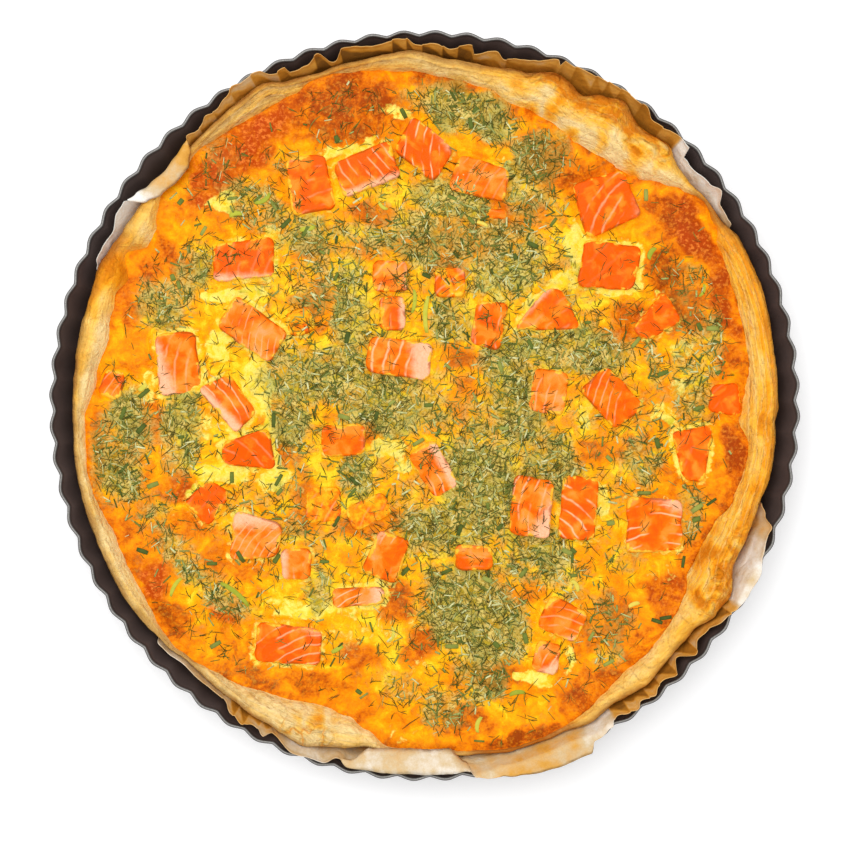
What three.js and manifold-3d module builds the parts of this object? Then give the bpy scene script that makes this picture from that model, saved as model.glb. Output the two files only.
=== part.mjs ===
// Salmon quiche in its fluted tin, with a sheet of baking paper between the pastry and the tin.
// Millimetres, +Z up. The origin is the centre of the tin's flat underside.
// Angles are in degrees, anticlockwise from +X as seen from above.

import * as THREE from 'three';
import { mergeVertices } from 'three/addons/utils/BufferGeometryUtils.js';
import Module from 'manifold-3d';

const wasm = await Module();
wasm.setup();

// Fit between pieces that touch
const GAP = 0.35;

// Tin
const TIN_HEIGHT = 30;
const TIN_RIM_RADIUS = 142.05;
const TIN_BASE_RADIUS = 131;
const TIN_WALL = 1.2;
const FLUTES = 72;
const FLUTE_DEPTH = 0.8;
const FLUTE_TURN = 3.3;
const STEPS_PER_FLUTE = 4;

// Rings of paper, pastry and custard share their steps, so their facets stay side by side.
const ROUND_STEPS = 120;

// Baking paper
const PAPER_THICKNESS = 0.5;
const PAPER_BASE_RADIUS = 128.6;
const PAPER_BOTTOM = TIN_WALL + 0.3;
const PAPER_CLEAR = 0.4;
const PAPER_LOW_RADIUS = 132;
const PAPER_LOW_EDGE = 17;
const PAPER_LOW_SLOPE = 5;
const PAPER_WALL_RADIUS = 133;
const PAPER_WALL_EDGE = 24;
const PAPER_WALL_SLOPE = 1.3;
const PAPER_HIGHEST_EDGE = 32;
const PAPER_LIP_RISE = 2;
const PAPER_LIP_SPREAD = 0.3;
const PAPER_FOLD_RISE = 2.2;
const PAPER_FOLD_EDGE_RISE = 1.6;
// A last strip that turns by more than this is a fold, not the pleated wall carried on.
const PAPER_FOLD_TURN = 1;

// Pastry case
const CRUST_BOTTOM = PAPER_BOTTOM + PAPER_THICKNESS + 0.3;
const CRUST_BASE_RADIUS = 127.5;
const CRUST_FLOOR = 6;
const CRUST_WAIST_HEIGHT = 14;
const CRUST_SHOULDER_DROP = 3.4;
const CRUST_THIN_DROP = 0.5;
const CRUST_LEAST_RISE = 0.9;
const CRUST_FULL_RISE = 5.6;
const CRUST_FULL_WIDTH = 9;
const CRUST_PUFF_RISE = 0.16;
const CRUST_FLOOR_EDGE = 121.5;
const CRUST_FLOOR_INSET = 2.5;
const CRUST_LIP = 0.4;
const CRUST_INNER_DROP = 0.9;
// How far across the rim, from outside to inside, its two crests lie.
const CREST_SHARES = [0.28, 0.68];
const FLAKE_HEIGHT = 0.45;
const FLAKES_ROUND = 19;
const FINE_FLAKES_ROUND = 31;
const FINE_FLAKE_SHARE = 0.7;
const CRUST_THIN_WALL = 1.3;

// Custard
const CUSTARD_LEVEL = 23.2;
const CUSTARD_EDGE_LIFT = 1;
const CUSTARD_LIFT_FROM = 95;
const CUSTARD_LIFT_TO = 125;
const CUSTARD_GAP = GAP + 0.1;
const CUSTARD_RING_PITCH = 12;

// Salmon
const CHUNK_DEPTH = 10;
const CHUNK_BEVEL = 1.1;
const CORNER_CUT = 2.9;
const CORNER_MOST = 0.3;
const CHUNK_FOOT_INSET = 1;
const CHUNK_CROWN = 0.25;
const TILT_REACH = 5;
const POCKET_TOP = CUSTARD_LEVEL + 15;

// Herbs
const CHIVE_RADIUS = 0.95;
const CHIVE_COUNT = 40;
const CHIVE_SPACING = 13;
const CHIVE_SIDES = 5;
const CHIVE_LENGTH = 3.6;
const CHIVE_MORE_LENGTH = 1.6;
const DILL_RADIUS = 0.5;
const DILL_TAPER = 0.5;
const DILL_SIDES = 3;
const DILL_COUNT = 38;
const DILL_SPACING = 9;
const DILL_LENGTH = 5;
const DILL_MORE_LENGTH = 1.5;
const CHIVE_TO_DILL = 6;
const HERB_CLEAR = 0.6;
const HERB_STANDS = 0.35;
const HERB_SEED = 41;
const TRIES_EACH = 200;
const MERGE_DISTANCE = 1e-5;
const TIE = 1e-6;

// Pastry rim stations: angle, outer radius, inner radius where the custard begins.
const CRUST_STATIONS = [
  [0, 134.7, 122.2], [10, 135.2, 124.9], [20, 136.4, 125.3], [28, 136, 127.2], [32, 133.9, 130.6],
  [36, 133.5, 132.2], [40, 132.6, 128.4], [43, 132.7, 124.2], [47, 136, 119.2], [52, 134.1, 116.9],
  [57, 138.5, 115.4], [60, 136.4, 115.7], [63, 132.9, 117.3], [68, 136.4, 118.8], [74, 132.7, 119.9],
  [79, 131.8, 123.4], [85, 132.6, 125.2], [93, 135.6, 127.7], [100, 134.5, 129.5], [108, 133.7, 131],
  [113, 134.8, 128.9], [117, 137.7, 128], [122, 136, 128.4], [128, 134.5, 129.3], [132, 133.6, 130.4],
  [135, 132.2, 129], [138, 131.5, 128.6], [141, 132.4, 128.8], [144, 133, 126], [147, 133, 122.4],
  [150, 133.2, 122.2], [153, 134.2, 128.2], [157, 135.2, 123.4],
  [160, 134.5, 124.9], [169, 134.5, 123.4], [175, 134.3, 126.1], [183, 134.8, 129.9], [193, 135.6, 131],
  [203, 135.6, 128.4], [213, 136.2, 129.1], [223, 135, 132.9], [227, 133.3, 131.4], [235, 134.1, 128],
  [243, 135.6, 124.2], [250, 137.7, 121.1], [256, 134.5, 121.9], [260, 132.6, 126.1], [264, 133.7, 131],
  [271, 134.5, 131.6], [278, 134.8, 133.3], [284, 136.3, 134.9], [290, 136, 134.6], [293, 135.6, 133.7],
  [298, 136.8, 131.4], [302, 134.8, 129.1], [308, 136.2, 127.2], [315, 134.1, 126.1], [320, 133.7, 124.2],
  [324, 136.8, 122.2], [328, 137.1, 118.4], [333, 132.6, 118], [338, 132.9, 118.8], [343, 133.3, 123],
  [349, 134.8, 124.5], [353, 134.7, 124.5], [357, 133.7, 120.3],
];

// Paper edge stations: angle, radius where its wall ends, and how far its last strip then turns,
// outward where positive and back over the quiche where negative.
const PAPER_STATIONS = [
  [31, 133.8, 0], [36, 137.6, 0], [42, 134.9, 0], [45, 138.7, 0.5], [51, 137.2, 0], [54, 140.3, 0.6],
  [60, 139.8, 0.6], [63, 139.4, 0], [69, 138.3, 0], [72, 136.4, 0], [75, 135.3, 0], [78, 136, 0],
  [81, 134.9, 0], [87, 136, 0], [93, 138.3, 0], [99, 136.8, 0], [102, 137.2, 0], [105, 134.5, 0],
  [108, 137.6, 0], [111, 136.4, 0], [114, 136.2, 0], [117, 139.6, 0], [120, 139.2, 0], [123, 138, 0],
  [126, 135.3, 0], [129, 134.5, 0], [132, 134.8, -3], [135, 133.6, -6], [138, 132.8, -5.8],
  [141, 133.8, -5.6], [144, 136, -4],
  [147, 137.6, 0], [151, 134.9, 0], [156, 134.5, 0], [159, 132, 0], [220, 132, 0], [222, 133.4, 0],
  [234, 133.8, 0], [238, 137.2, 0], [243, 137.9, 0], [246, 134.9, 0], [252, 139.8, 0], [256, 137.2, 0],
  [260, 139.8, -7], [264, 140, -9], [274, 140, -9], [276, 139.6, -3], [279, 139, 4], [288, 139, 4.3],
  [296, 139, 3.8], [298, 139, 1.8], [300, 138.8, 1.4], [303, 137.8, 0], [306, 139.2, 0], [309, 136.8, 0],
  [312, 138.5, 0], [315, 134.6, 0], [318, 137, 0], [321, 136.4, 0], [325, 138, 0], [329, 139.8, 1.2],
  [333, 140, 2.4], [336, 139.2, 0.6], [339, 138, 0], [342, 134.6, 0], [345, 132, 0],
];

// Raised places of the custard: x, y, half length, half width, turn, height.
const RAISED_PLACES = [
  [-30.5, 115.1, 19, 12.5, 15, 4.5], [-70.7, 97.9, 25, 8.5, 45, 2], [108.5, 55, 27, 6, -70, 1.5],
  [118, -19.7, 5.5, 10.5, 0, 1.5], [71, -101.3, 30, 7, 42, 2], [28.9, -126, 20, 6, 12, 1.5],
  [9.7, 121.6, 19, 5, -5, 1.6], [63.3, -19, 9.5, 6, 0, 1.5], [72.9, 34.7, 8, 10, 0, 1.5],
  [-99.4, -74.5, 10, 6, -50, 1.5], [-77.6, -80.2, 7, 5, 0, 1.2], [-125, -17, 4, 18, 0, 1.2],
  [-99.4, 71, 9, 6, 45, 1.2], [36.5, 110, 7, 5, -20, 1.5],
];

// Soft waves of the custard: length across, heading, phase, height.
const CUSTARD_WAVES = [
  [61, 20, 0.4, 0.45], [47, 98, 1.9, 0.4], [37, 151, 3.1, 0.35], [29, 62, 4.4, 0.3], [23, 128, 5.2, 0.25],
];

// Places thick with dill: x, y, half length, half width, turn.
const DILL_PLACES = [
  [15.4, 64.4, 36, 16, 0], [-15.1, 5.9, 36, 19, 0], [28.8, -20.8, 23, 30, 0], [21.1, -41.8, 27, 17, 0],
  [20.4, -81.9, 20, 17, 0], [17.3, 112.1, 19, 10, 0], [44.1, 86.9, 13, 16, 0], [-30.4, 38.4, 6, 13, 0],
  [-41.9, 62.5, 10, 10, 0], [-98, 43.4, 12, 14, 0], [-113.4, -15.1, 12, 21, 0], [-95.4, -9.4, 6, 11, 0],
  [57.4, 20.4, 15, 9, 0], [107.1, 9, 10, 16, 0], [83, -21.6, 9, 7, 0], [53.6, -65.9, 13, 9, 0],
  [67.7, -85.7, 7, 11, 0], [-87.7, -63.6, 27, 6, -27], [15.4, 84.3, 6, 6, 0], [54.8, -31.5, 5.5, 5.5, 0],
];

// Salmon chunks: x, y, length, width, turn, taper, skew, lean, and how far the top stands over the
// custard. Taper is how much narrower the far end is, skew how far the far end slides sideways, and
// lean how much shorter the left side is than the right one.
const CHUNKS = [
  [-69.4, 56, 23.6, 15, 3, -0.05, 0.1, 0, 1.4],
  [-44.2, 85, 22.2, 16.4, 100, 0.1, 0, 0, 1.8],
  [-22.2, 90.3, 23.5, 14.6, 18, 0, 0.1, 0, 1.6],
  [-0.5, 98.2, 20, 15.6, -30, 0, -0.2, 0, 3],
  [21.3, 86.9, 21.6, 13.6, -15, 0.2, 0, 0.1, 1.4],
  [27.6, 73.8, 7.6, 4.2, 0, 0, 0, 0, 0.8],
  [69.5, 78, 22, 20.6, 20, 0.15, 0, 0.1, 2.4],
  [70.8, 53.6, 22.2, 18, -10, 0.1, 0.1, 0, 1.8],
  [-66, 29.2, 25.2, 14.5, -32, 0.05, -0.1, 0, 2],
  [-94.6, 16.2, 23.8, 16.2, 96, 0.1, 0, 0, 2.2],
  [-74.7, 1.4, 20.6, 12.4, -56, 0.15, 0.1, 0.2, 2],
  [-68, -17.4, 19.6, 12.6, 5, -0.6, 0, 0.1, 1.6],
  [-83.1, -36.5, 14.5, 12.6, 50, 0.3, 0, 0.1, 1],
  [-64.6, -50.6, 18.8, 16.4, -6, 0.4, 0, 0, 2.2],
  [-119.6, 8.3, 11, 8.9, 72, 0.1, 0, 0, 0.8],
  [-47.9, 32.2, 10.5, 9.8, 20, 0, 0, 0, 0.8],
  [-12.4, 35.2, 13.2, 10.2, 90, 0, 0, 0, 1.4],
  [-13.2, 49.6, 13.6, 12.2, 0, 0, 0, 0.1, 1.2],
  [-9.8, 18.3, 24.6, 14.2, -8, -0.05, 0, 0, 2.2],
  [24.6, 31.1, 17.6, 12.2, 80, -0.1, 0, 0.15, 1.2],
  [48.3, 37, 15.8, 16.8, 90, 1.25, -0.12, 0, 1.8],
  [-31.2, -13.2, 16.8, 12.2, 3, 0, 0, 0, 1.4],
  [3.6, -24.6, 20.6, 11.5, -60, 0.1, 0, 0, 1.4],
  [47.5, 5.5, 16.8, 13.8, 80, 0.1, 0, 0, 1.2],
  [40.9, -38.8, 22.8, 15.8, 80, 0, 0.1, 0, 2],
  [59, -39.2, 24.6, 14, 85, 0, 0, 0, 2],
  [88, -45.7, 21.4, 20.6, 0, 0.15, 0, 0, 2.6],
  [88.9, 32.8, 17.4, 10.6, 41, -0.6, 0, -0.2, 1.6],
  [71.6, 2.9, 21.4, 14.5, -51, 0, 0.1, 0, 2],
  [115, 2.6, 11.8, 12.2, 0, -0.2, 0, 0.2, 1.2],
  [102.8, -18.6, 20.6, 12.2, -88, 0.7, 0, -0.2, 1.6],
  [-52.2, -91.5, 25.2, 14.5, -5, 0.1, 0, 0, 2.2],
  [-49.3, -60.8, 11.6, 12.2, 0, 0, 0, 0, 1],
  [-14.6, -57.6, 17.8, 13.6, 68, 0.15, 0, 0.1, 1.8],
  [-25.4, -73.2, 20, 7.4, 4, 0.2, 0, 0, 1],
  [18.9, -58.3, 14.5, 9.9, 0, 0.1, 0, 0, 1.2],
  [53, -81.8, 16.2, 13.4, -24, 0.1, 0, 0, 1.4],
  [46.7, -96.5, 12.2, 9.9, 80, 0, 0, 0, 1],
  [-38.8, -38, 13.8, 13.8, 0, 0.1, 0, 0, 0.8],
  [-21.4, -40.5, 17, 9.9, 25, 0, 0, 0, 0.8],
  [9.7, 47.2, 12.2, 11.5, 0, 0.1, 0, 0, 1],
];

const TAU = Math.PI * 2;
const radians = (degrees) => degrees * Math.PI / 180;

// A repeatable run of numbers between 0 and 1.
function seeded(seed) {
  let state = seed;
  return () => {
    state = (state + 0x6d2b79f5) | 0;
    let mixed = Math.imul(state ^ (state >>> 15), 1 | state);
    mixed = (mixed + Math.imul(mixed ^ (mixed >>> 7), 61 | mixed)) ^ mixed;
    return ((mixed ^ (mixed >>> 14)) >>> 0) / 4294967296;
  };
}

// The value of one column of closed stations at an angle, eased or straight between two rows.
function stationValue(stations, column, degrees, eased) {
  const angle = ((degrees - stations[0][0]) % 360 + 360) % 360 + stations[0][0];
  let next = stations.findIndex((row) => row[0] > angle);
  if (next < 0) next = stations.length;
  const before = stations[next - 1];
  const after = next < stations.length ? stations[next] : [stations[0][0] + 360, ...stations[0].slice(1)];
  const share = (angle - before[0]) / (after[0] - before[0]);
  const blend = eased ? share * share * (3 - 2 * share) : share;
  return THREE.MathUtils.lerp(before[column], after[column], blend);
}

// Rings and solids
function ring(steps, pointAt) {
  return Array.from({ length: steps }, (_, step) => pointAt(360 * step / steps));
}

function polar(radius, degrees, z) {
  return [radius * Math.cos(radians(degrees)), radius * Math.sin(radians(degrees)), z];
}

// Joins two rings of any counts with triangles, going round both together. Between rings of one
// count the lower ring leads, so that walls that face each other split their squares alike.
function bridge(index, first, second) {
  const bias = first.height <= second.height ? TIE : -TIE;
  let one = 0;
  let other = 0;
  while (one < first.count || other < second.count) {
    const onePoint = first.start + one % first.count;
    const otherPoint = second.start + other % second.count;
    const oneLeads = (one + 1) / first.count < (other + 1) / second.count + bias;
    if (other >= second.count || (one < first.count && oneLeads)) {
      if (first.count > 1) index.push(onePoint, first.start + (one + 1) % first.count, otherPoint);
      one += 1;
    } else {
      if (second.count > 1) index.push(onePoint, second.start + (other + 1) % second.count, otherPoint);
      other += 1;
    }
  }
}

// A closed body through rings, from a lower pole, up the outside and back in to an upper pole.
function bodyFromRings(rings) {
  const positions = [];
  const index = [];
  let before = null;
  for (const points of rings) {
    const height = points.reduce((sum, point) => sum + point[2], 0) / points.length;
    const row = { start: positions.length / 3, count: points.length, height };
    points.forEach((point) => positions.push(...point));
    if (before) bridge(index, before, row);
    before = row;
  }
  const geometry = new THREE.BufferGeometry();
  geometry.setAttribute('position', new THREE.Float32BufferAttribute(positions, 3));
  geometry.setIndex(index);
  return geometry;
}

function toManifold(geometry) {
  const plain = geometry.clone();
  plain.deleteAttribute('normal');
  plain.deleteAttribute('uv');
  const merged = mergeVertices(plain, MERGE_DISTANCE);
  return new wasm.Manifold(new wasm.Mesh({
    numProp: 3,
    vertProperties: new Float32Array(merged.attributes.position.array),
    triVerts: new Uint32Array(merged.index.array),
  }));
}

function toGeometry(solid) {
  const mesh = solid.getMesh();
  const geometry = new THREE.BufferGeometry();
  geometry.setAttribute('position', new THREE.Float32BufferAttribute(mesh.vertProperties, 3));
  geometry.setIndex(Array.from(mesh.triVerts));
  return geometry;
}

// Tin: a plain floor and one fluted wall.
function tinGeometry() {
  const steps = FLUTES * STEPS_PER_FLUTE;
  const fluted = (radius, z) => ring(steps, (degrees) => {
    const wave = Math.cos(radians((degrees - FLUTE_TURN) * FLUTES));
    return polar(radius + FLUTE_DEPTH * wave, degrees, z);
  });
  return bodyFromRings([
    [[0, 0, 0]],
    fluted(TIN_BASE_RADIUS, 0),
    fluted(TIN_RIM_RADIUS, TIN_HEIGHT),
    fluted(TIN_RIM_RADIUS - TIN_WALL, TIN_HEIGHT),
    fluted(TIN_BASE_RADIUS - TIN_WALL, TIN_WALL),
    [[0, 0, TIN_WALL]],
  ]);
}

// Custard surface
function inPlace([x, y, halfLength, halfWidth, turn], px, py) {
  const along = (px - x) * Math.cos(radians(turn)) + (py - y) * Math.sin(radians(turn));
  const across = (py - y) * Math.cos(radians(turn)) - (px - x) * Math.sin(radians(turn));
  return (along / halfLength) ** 2 + (across / halfWidth) ** 2;
}

function custardHeight(x, y) {
  const edge = THREE.MathUtils.smoothstep(Math.hypot(x, y), CUSTARD_LIFT_FROM, CUSTARD_LIFT_TO);
  let height = CUSTARD_LEVEL + CUSTARD_EDGE_LIFT * edge;
  for (const place of RAISED_PLACES) height += place[5] * Math.exp(-inPlace(place, x, y));
  for (const [wave, heading, phase, rise] of CUSTARD_WAVES) {
    const along = x * Math.cos(radians(heading)) + y * Math.sin(radians(heading));
    height += rise * Math.sin(TAU * along / wave + phase);
  }
  return height;
}

// Pastry case
const crustOuter = (degrees) => stationValue(CRUST_STATIONS, 1, degrees, true);
const crustInner = (degrees) => (
  Math.min(stationValue(CRUST_STATIONS, 2, degrees, true), crustOuter(degrees) - CRUST_THIN_WALL)
);

function custardEdgeHeight(degrees) {
  const [x, y] = polar(crustInner(degrees), degrees, 0);
  return custardHeight(x, y);
}

const crustWidth = (degrees) => crustOuter(degrees) - crustInner(degrees);
const crustFullness = (degrees) => Math.min(1, crustWidth(degrees) / CRUST_FULL_WIDTH);

// The rim stands higher where it is wide, and highest where the pastry has puffed.
function crustCrest(degrees) {
  const puff = Math.max(0, crustWidth(degrees) - CRUST_FULL_WIDTH) * CRUST_PUFF_RISE;
  const rise = THREE.MathUtils.lerp(CRUST_LEAST_RISE, CRUST_FULL_RISE, crustFullness(degrees));
  return CUSTARD_LEVEL + CUSTARD_EDGE_LIFT + rise + puff;
}

const crustWaist = (degrees) => (CRUST_BASE_RADIUS + crustOuter(degrees)) / 2;
const crustShoulder = (degrees) => (
  crustCrest(degrees) - THREE.MathUtils.lerp(CRUST_THIN_DROP, CRUST_SHOULDER_DROP, crustFullness(degrees))
);
const crustFloorEdge = (degrees) => Math.min(crustInner(degrees) - CRUST_FLOOR_INSET, CRUST_FLOOR_EDGE);

// The outside of the pastry at a height, carried on in a straight line over its shoulder.
function crustSide(degrees, z) {
  if (z < CRUST_WAIST_HEIGHT) {
    const low = (z - CRUST_BOTTOM) / (CRUST_WAIST_HEIGHT - CRUST_BOTTOM);
    return THREE.MathUtils.lerp(CRUST_BASE_RADIUS, crustWaist(degrees), low);
  }
  const high = (z - CRUST_WAIST_HEIGHT) / (crustShoulder(degrees) - CRUST_WAIST_HEIGHT);
  return THREE.MathUtils.lerp(crustWaist(degrees), crustOuter(degrees), high);
}

// Ridges and dents of the flaky top, strongest on the wide stretches.
function flake(degrees, row) {
  const coarse = Math.sin(radians(degrees * FLAKES_ROUND) + 2.1 * row);
  const fine = Math.sin(radians(degrees * FINE_FLAKES_ROUND) + 4.7 * row);
  return crustFullness(degrees) * FLAKE_HEIGHT * (coarse + FINE_FLAKE_SHARE * fine);
}

function crustGeometry() {
  const circle = (radiusAt, heightAt) => (
    ring(ROUND_STEPS, (degrees) => polar(radiusAt(degrees), degrees, heightAt(degrees)))
  );
  const within = (share) => (degrees) => (
    THREE.MathUtils.lerp(crustOuter(degrees), crustInner(degrees), share)
  );
  return bodyFromRings([
    [[0, 0, CRUST_BOTTOM]],
    circle(() => CRUST_BASE_RADIUS, () => CRUST_BOTTOM),
    circle(crustWaist, () => CRUST_WAIST_HEIGHT),
    circle(crustOuter, crustShoulder),
    circle(within(CREST_SHARES[0]), (degrees) => crustCrest(degrees) + flake(degrees, 1)),
    circle(within(CREST_SHARES[1]), (degrees) => (
      crustCrest(degrees) + flake(degrees, 2) - CRUST_INNER_DROP * crustFullness(degrees)
    )),
    circle(crustInner, (degrees) => custardEdgeHeight(degrees) + CRUST_LIP),
    circle(crustFloorEdge, () => CRUST_FLOOR),
    [[0, 0, CRUST_FLOOR]],
  ]);
}

// Baking paper: one sheet under the pastry and up its side, with a pleated edge.
const paperTurn = (degrees) => stationValue(PAPER_STATIONS, 2, degrees, false);
const foldedIn = (degrees) => paperTurn(degrees) < -PAPER_FOLD_TURN;
const foldedOut = (degrees) => paperTurn(degrees) > PAPER_FOLD_TURN;

// Where the paper's wall ends: higher where it leans further out, and low where the rim hides it.
function paperEdge(degrees) {
  const radius = stationValue(PAPER_STATIONS, 1, degrees, false);
  const hidden = PAPER_LOW_EDGE + PAPER_LOW_SLOPE * Math.max(0, radius - PAPER_LOW_RADIUS);
  const leaning = PAPER_WALL_EDGE + PAPER_WALL_SLOPE * (radius - PAPER_WALL_RADIUS);
  let z = Math.min(PAPER_HIGHEST_EDGE, hidden, Math.max(leaning, PAPER_LOW_EDGE));
  if (foldedIn(degrees)) z = Math.max(z, crustCrest(degrees) + PAPER_FOLD_RISE);
  if (foldedOut(degrees)) z = PAPER_HIGHEST_EDGE;
  const clear = crustSide(degrees, z) + PAPER_CLEAR + PAPER_THICKNESS;
  return { radius: Math.max(radius, clear), z };
}

function paperGeometry() {
  const wall = (inset) => [
    ring(ROUND_STEPS, (degrees) => polar(PAPER_BASE_RADIUS - inset, degrees, PAPER_BOTTOM + inset)),
    ring(ROUND_STEPS, (degrees) => {
      const radius = crustWaist(degrees) + PAPER_CLEAR + PAPER_THICKNESS;
      return polar(radius - inset, degrees, CRUST_WAIST_HEIGHT);
    }),
    ring(ROUND_STEPS, (degrees) => {
      const { radius, z } = paperEdge(degrees);
      return polar(radius - inset, degrees, foldedIn(degrees) ? z - inset : z);
    }),
  ];
  const lip = (inset) => ring(ROUND_STEPS, (degrees) => {
    const { radius, z } = paperEdge(degrees);
    const turn = paperTurn(degrees);
    if (foldedIn(degrees)) {
      return polar(radius + turn, degrees, crustCrest(degrees) + PAPER_FOLD_EDGE_RISE - inset);
    }
    const rise = PAPER_LIP_RISE - Math.abs(turn) / 2 + (foldedOut(degrees) ? inset : 0);
    return polar(radius + PAPER_LIP_SPREAD + turn - inset / 2, degrees, z + rise);
  });
  const outside = wall(0);
  const inside = wall(PAPER_THICKNESS);
  return bodyFromRings([
    [[0, 0, PAPER_BOTTOM]],
    ...outside,
    lip(0),
    lip(PAPER_THICKNESS),
    ...inside.reverse(),
    [[0, 0, PAPER_BOTTOM + PAPER_THICKNESS]],
  ]);
}

// Salmon chunks
function chunkOutline([x, y, length, width, turn, taper, skew, lean], grow) {
  const corners = [[-1, -1], [1, -1], [1, 1], [-1, 1]].map(([along, across]) => {
    const half = width / 2 * (1 - taper * along * 0.5) + grow;
    const reach = length / 2 * (1 - lean * across * 0.5) + grow;
    return [along * reach, across * half + along * skew * width / 2];
  });
  const points = corners.flatMap((corner, at) => {
    const before = corners[(at + 3) % 4];
    const after = corners[(at + 1) % 4];
    const toward = (other) => {
      const side = Math.hypot(other[0] - corner[0], other[1] - corner[1]);
      const share = Math.min(CORNER_MOST, CORNER_CUT / side);
      return [0, 1].map((axis) => THREE.MathUtils.lerp(corner[axis], other[axis], share));
    };
    return [toward(before), toward(after)];
  });
  const cos = Math.cos(radians(turn));
  const sin = Math.sin(radians(turn));
  return points.map(([along, across]) => [x + along * cos - across * sin, y + along * sin + across * cos]);
}

// The top of a chunk lies along the custard's slope there.
function chunkTop(chunk, x, y) {
  const [cx, cy, , , , , , , proud] = chunk;
  const riseX = custardHeight(cx + TILT_REACH, cy) - custardHeight(cx - TILT_REACH, cy);
  const riseY = custardHeight(cx, cy + TILT_REACH) - custardHeight(cx, cy - TILT_REACH);
  const tilt = (riseX * (x - cx) + riseY * (y - cy)) / (2 * TILT_REACH);
  return custardHeight(cx, cy) + proud + tilt;
}

function chunkGeometry(chunk) {
  const [x, y] = chunk;
  const bottom = custardHeight(x, y) - CHUNK_DEPTH;
  const level = (grow, drop) => (
    chunkOutline(chunk, grow).map(([px, py]) => [px, py, chunkTop(chunk, px, py) - drop])
  );
  return bodyFromRings([
    [[x, y, bottom]],
    chunkOutline(chunk, -CHUNK_FOOT_INSET).map(([px, py]) => [px, py, bottom]),
    level(0, CHUNK_BEVEL),
    level(-CHUNK_BEVEL, CHUNK_CROWN),
    [[x, y, chunkTop(chunk, x, y)]],
  ]);
}

function pocketGeometry(chunk) {
  const [x, y] = chunk;
  const bottom = custardHeight(x, y) - CHUNK_DEPTH - GAP;
  return bodyFromRings([
    [[x, y, bottom]],
    chunkOutline(chunk, GAP).map(([px, py]) => [px, py, bottom]),
    chunkOutline(chunk, GAP).map(([px, py]) => [px, py, POCKET_TOP]),
    [[x, y, POCKET_TOP]],
  ]);
}

// Custard with its herbs
function custardGeometry() {
  const bottom = CRUST_FLOOR + GAP;
  const edge = (degrees) => crustInner(degrees) - CUSTARD_GAP;
  const rings = [
    [[0, 0, bottom]],
    ring(ROUND_STEPS, (degrees) => polar(crustFloorEdge(degrees) - CUSTARD_GAP, degrees, bottom)),
    ring(ROUND_STEPS, (degrees) => polar(edge(degrees), degrees, custardEdgeHeight(degrees))),
  ];
  const count = Math.round(TIN_BASE_RADIUS / CUSTARD_RING_PITCH);
  for (let at = count - 1; at > 0; at -= 1) {
    const steps = Math.round(TAU * at);
    rings.push(ring(steps, (degrees) => {
      const [x, y] = polar(edge(degrees) * at / count, degrees, 0);
      return [x, y, custardHeight(x, y)];
    }));
  }
  rings.push([[0, 0, custardHeight(0, 0)]]);
  return bodyFromRings(rings);
}

function clearOfChunks(x, y, margin) {
  return CHUNKS.every((chunk) => {
    const [cx, cy, length, width, turn, taper, skew] = chunk;
    const cos = Math.cos(radians(turn));
    const sin = Math.sin(radians(turn));
    const along = Math.abs((x - cx) * cos + (y - cy) * sin) - length / 2;
    const widest = width / 2 * (1 + Math.abs(taper) / 2 + Math.abs(skew));
    const across = Math.abs((y - cy) * cos - (x - cx) * sin) - widest;
    return Math.max(along, across) > margin;
  });
}

function insideCrust(x, y, margin) {
  const degrees = THREE.MathUtils.radToDeg(Math.atan2(y, x));
  return Math.hypot(x, y) < crustInner(degrees) - margin;
}

// Draws places one by one and keeps those that are clear of the salmon, the rim and each other.
function scatter(random, wanted, spacing, reach, allowed) {
  const kept = [];
  for (let tries = 0; tries < wanted * TRIES_EACH && kept.length < wanted; tries += 1) {
    const radius = TIN_BASE_RADIUS * Math.sqrt(random());
    const [x, y] = polar(radius, 360 * random(), 0);
    const free = kept.every((other) => Math.hypot(other.x - x, other.y - y) > spacing);
    const clear = clearOfChunks(x, y, reach + GAP) && insideCrust(x, y, reach + GAP);
    if (free && clear && allowed(x, y)) kept.push({ x, y, turn: 180 * random() });
  }
  return kept;
}

// A short stick that lies on the surface from end to end, half sunk in it.
function lyingStick(surface, place, length, radius, tip, sides) {
  const cos = Math.cos(radians(place.turn)) * length / 2;
  const sin = Math.sin(radians(place.turn)) * length / 2;
  const caster = new THREE.Raycaster();
  const ends = [-1, 1].map((side) => {
    const above = new THREE.Vector3(place.x + side * cos, place.y + side * sin, TIN_HEIGHT * 2);
    caster.set(above, new THREE.Vector3(0, 0, -1));
    return caster.intersectObject(surface)[0].point;
  });
  const heading = new THREE.Vector3().subVectors(ends[1], ends[0]).normalize();
  const geometry = new THREE.CylinderGeometry(tip, radius, length, sides);
  geometry.applyQuaternion(new THREE.Quaternion().setFromUnitVectors(new THREE.Vector3(0, 1, 0), heading));
  const middle = ends[0].add(ends[1]).multiplyScalar(0.5);
  return geometry.translate(middle.x, middle.y, middle.z + radius * HERB_STANDS);
}

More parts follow.
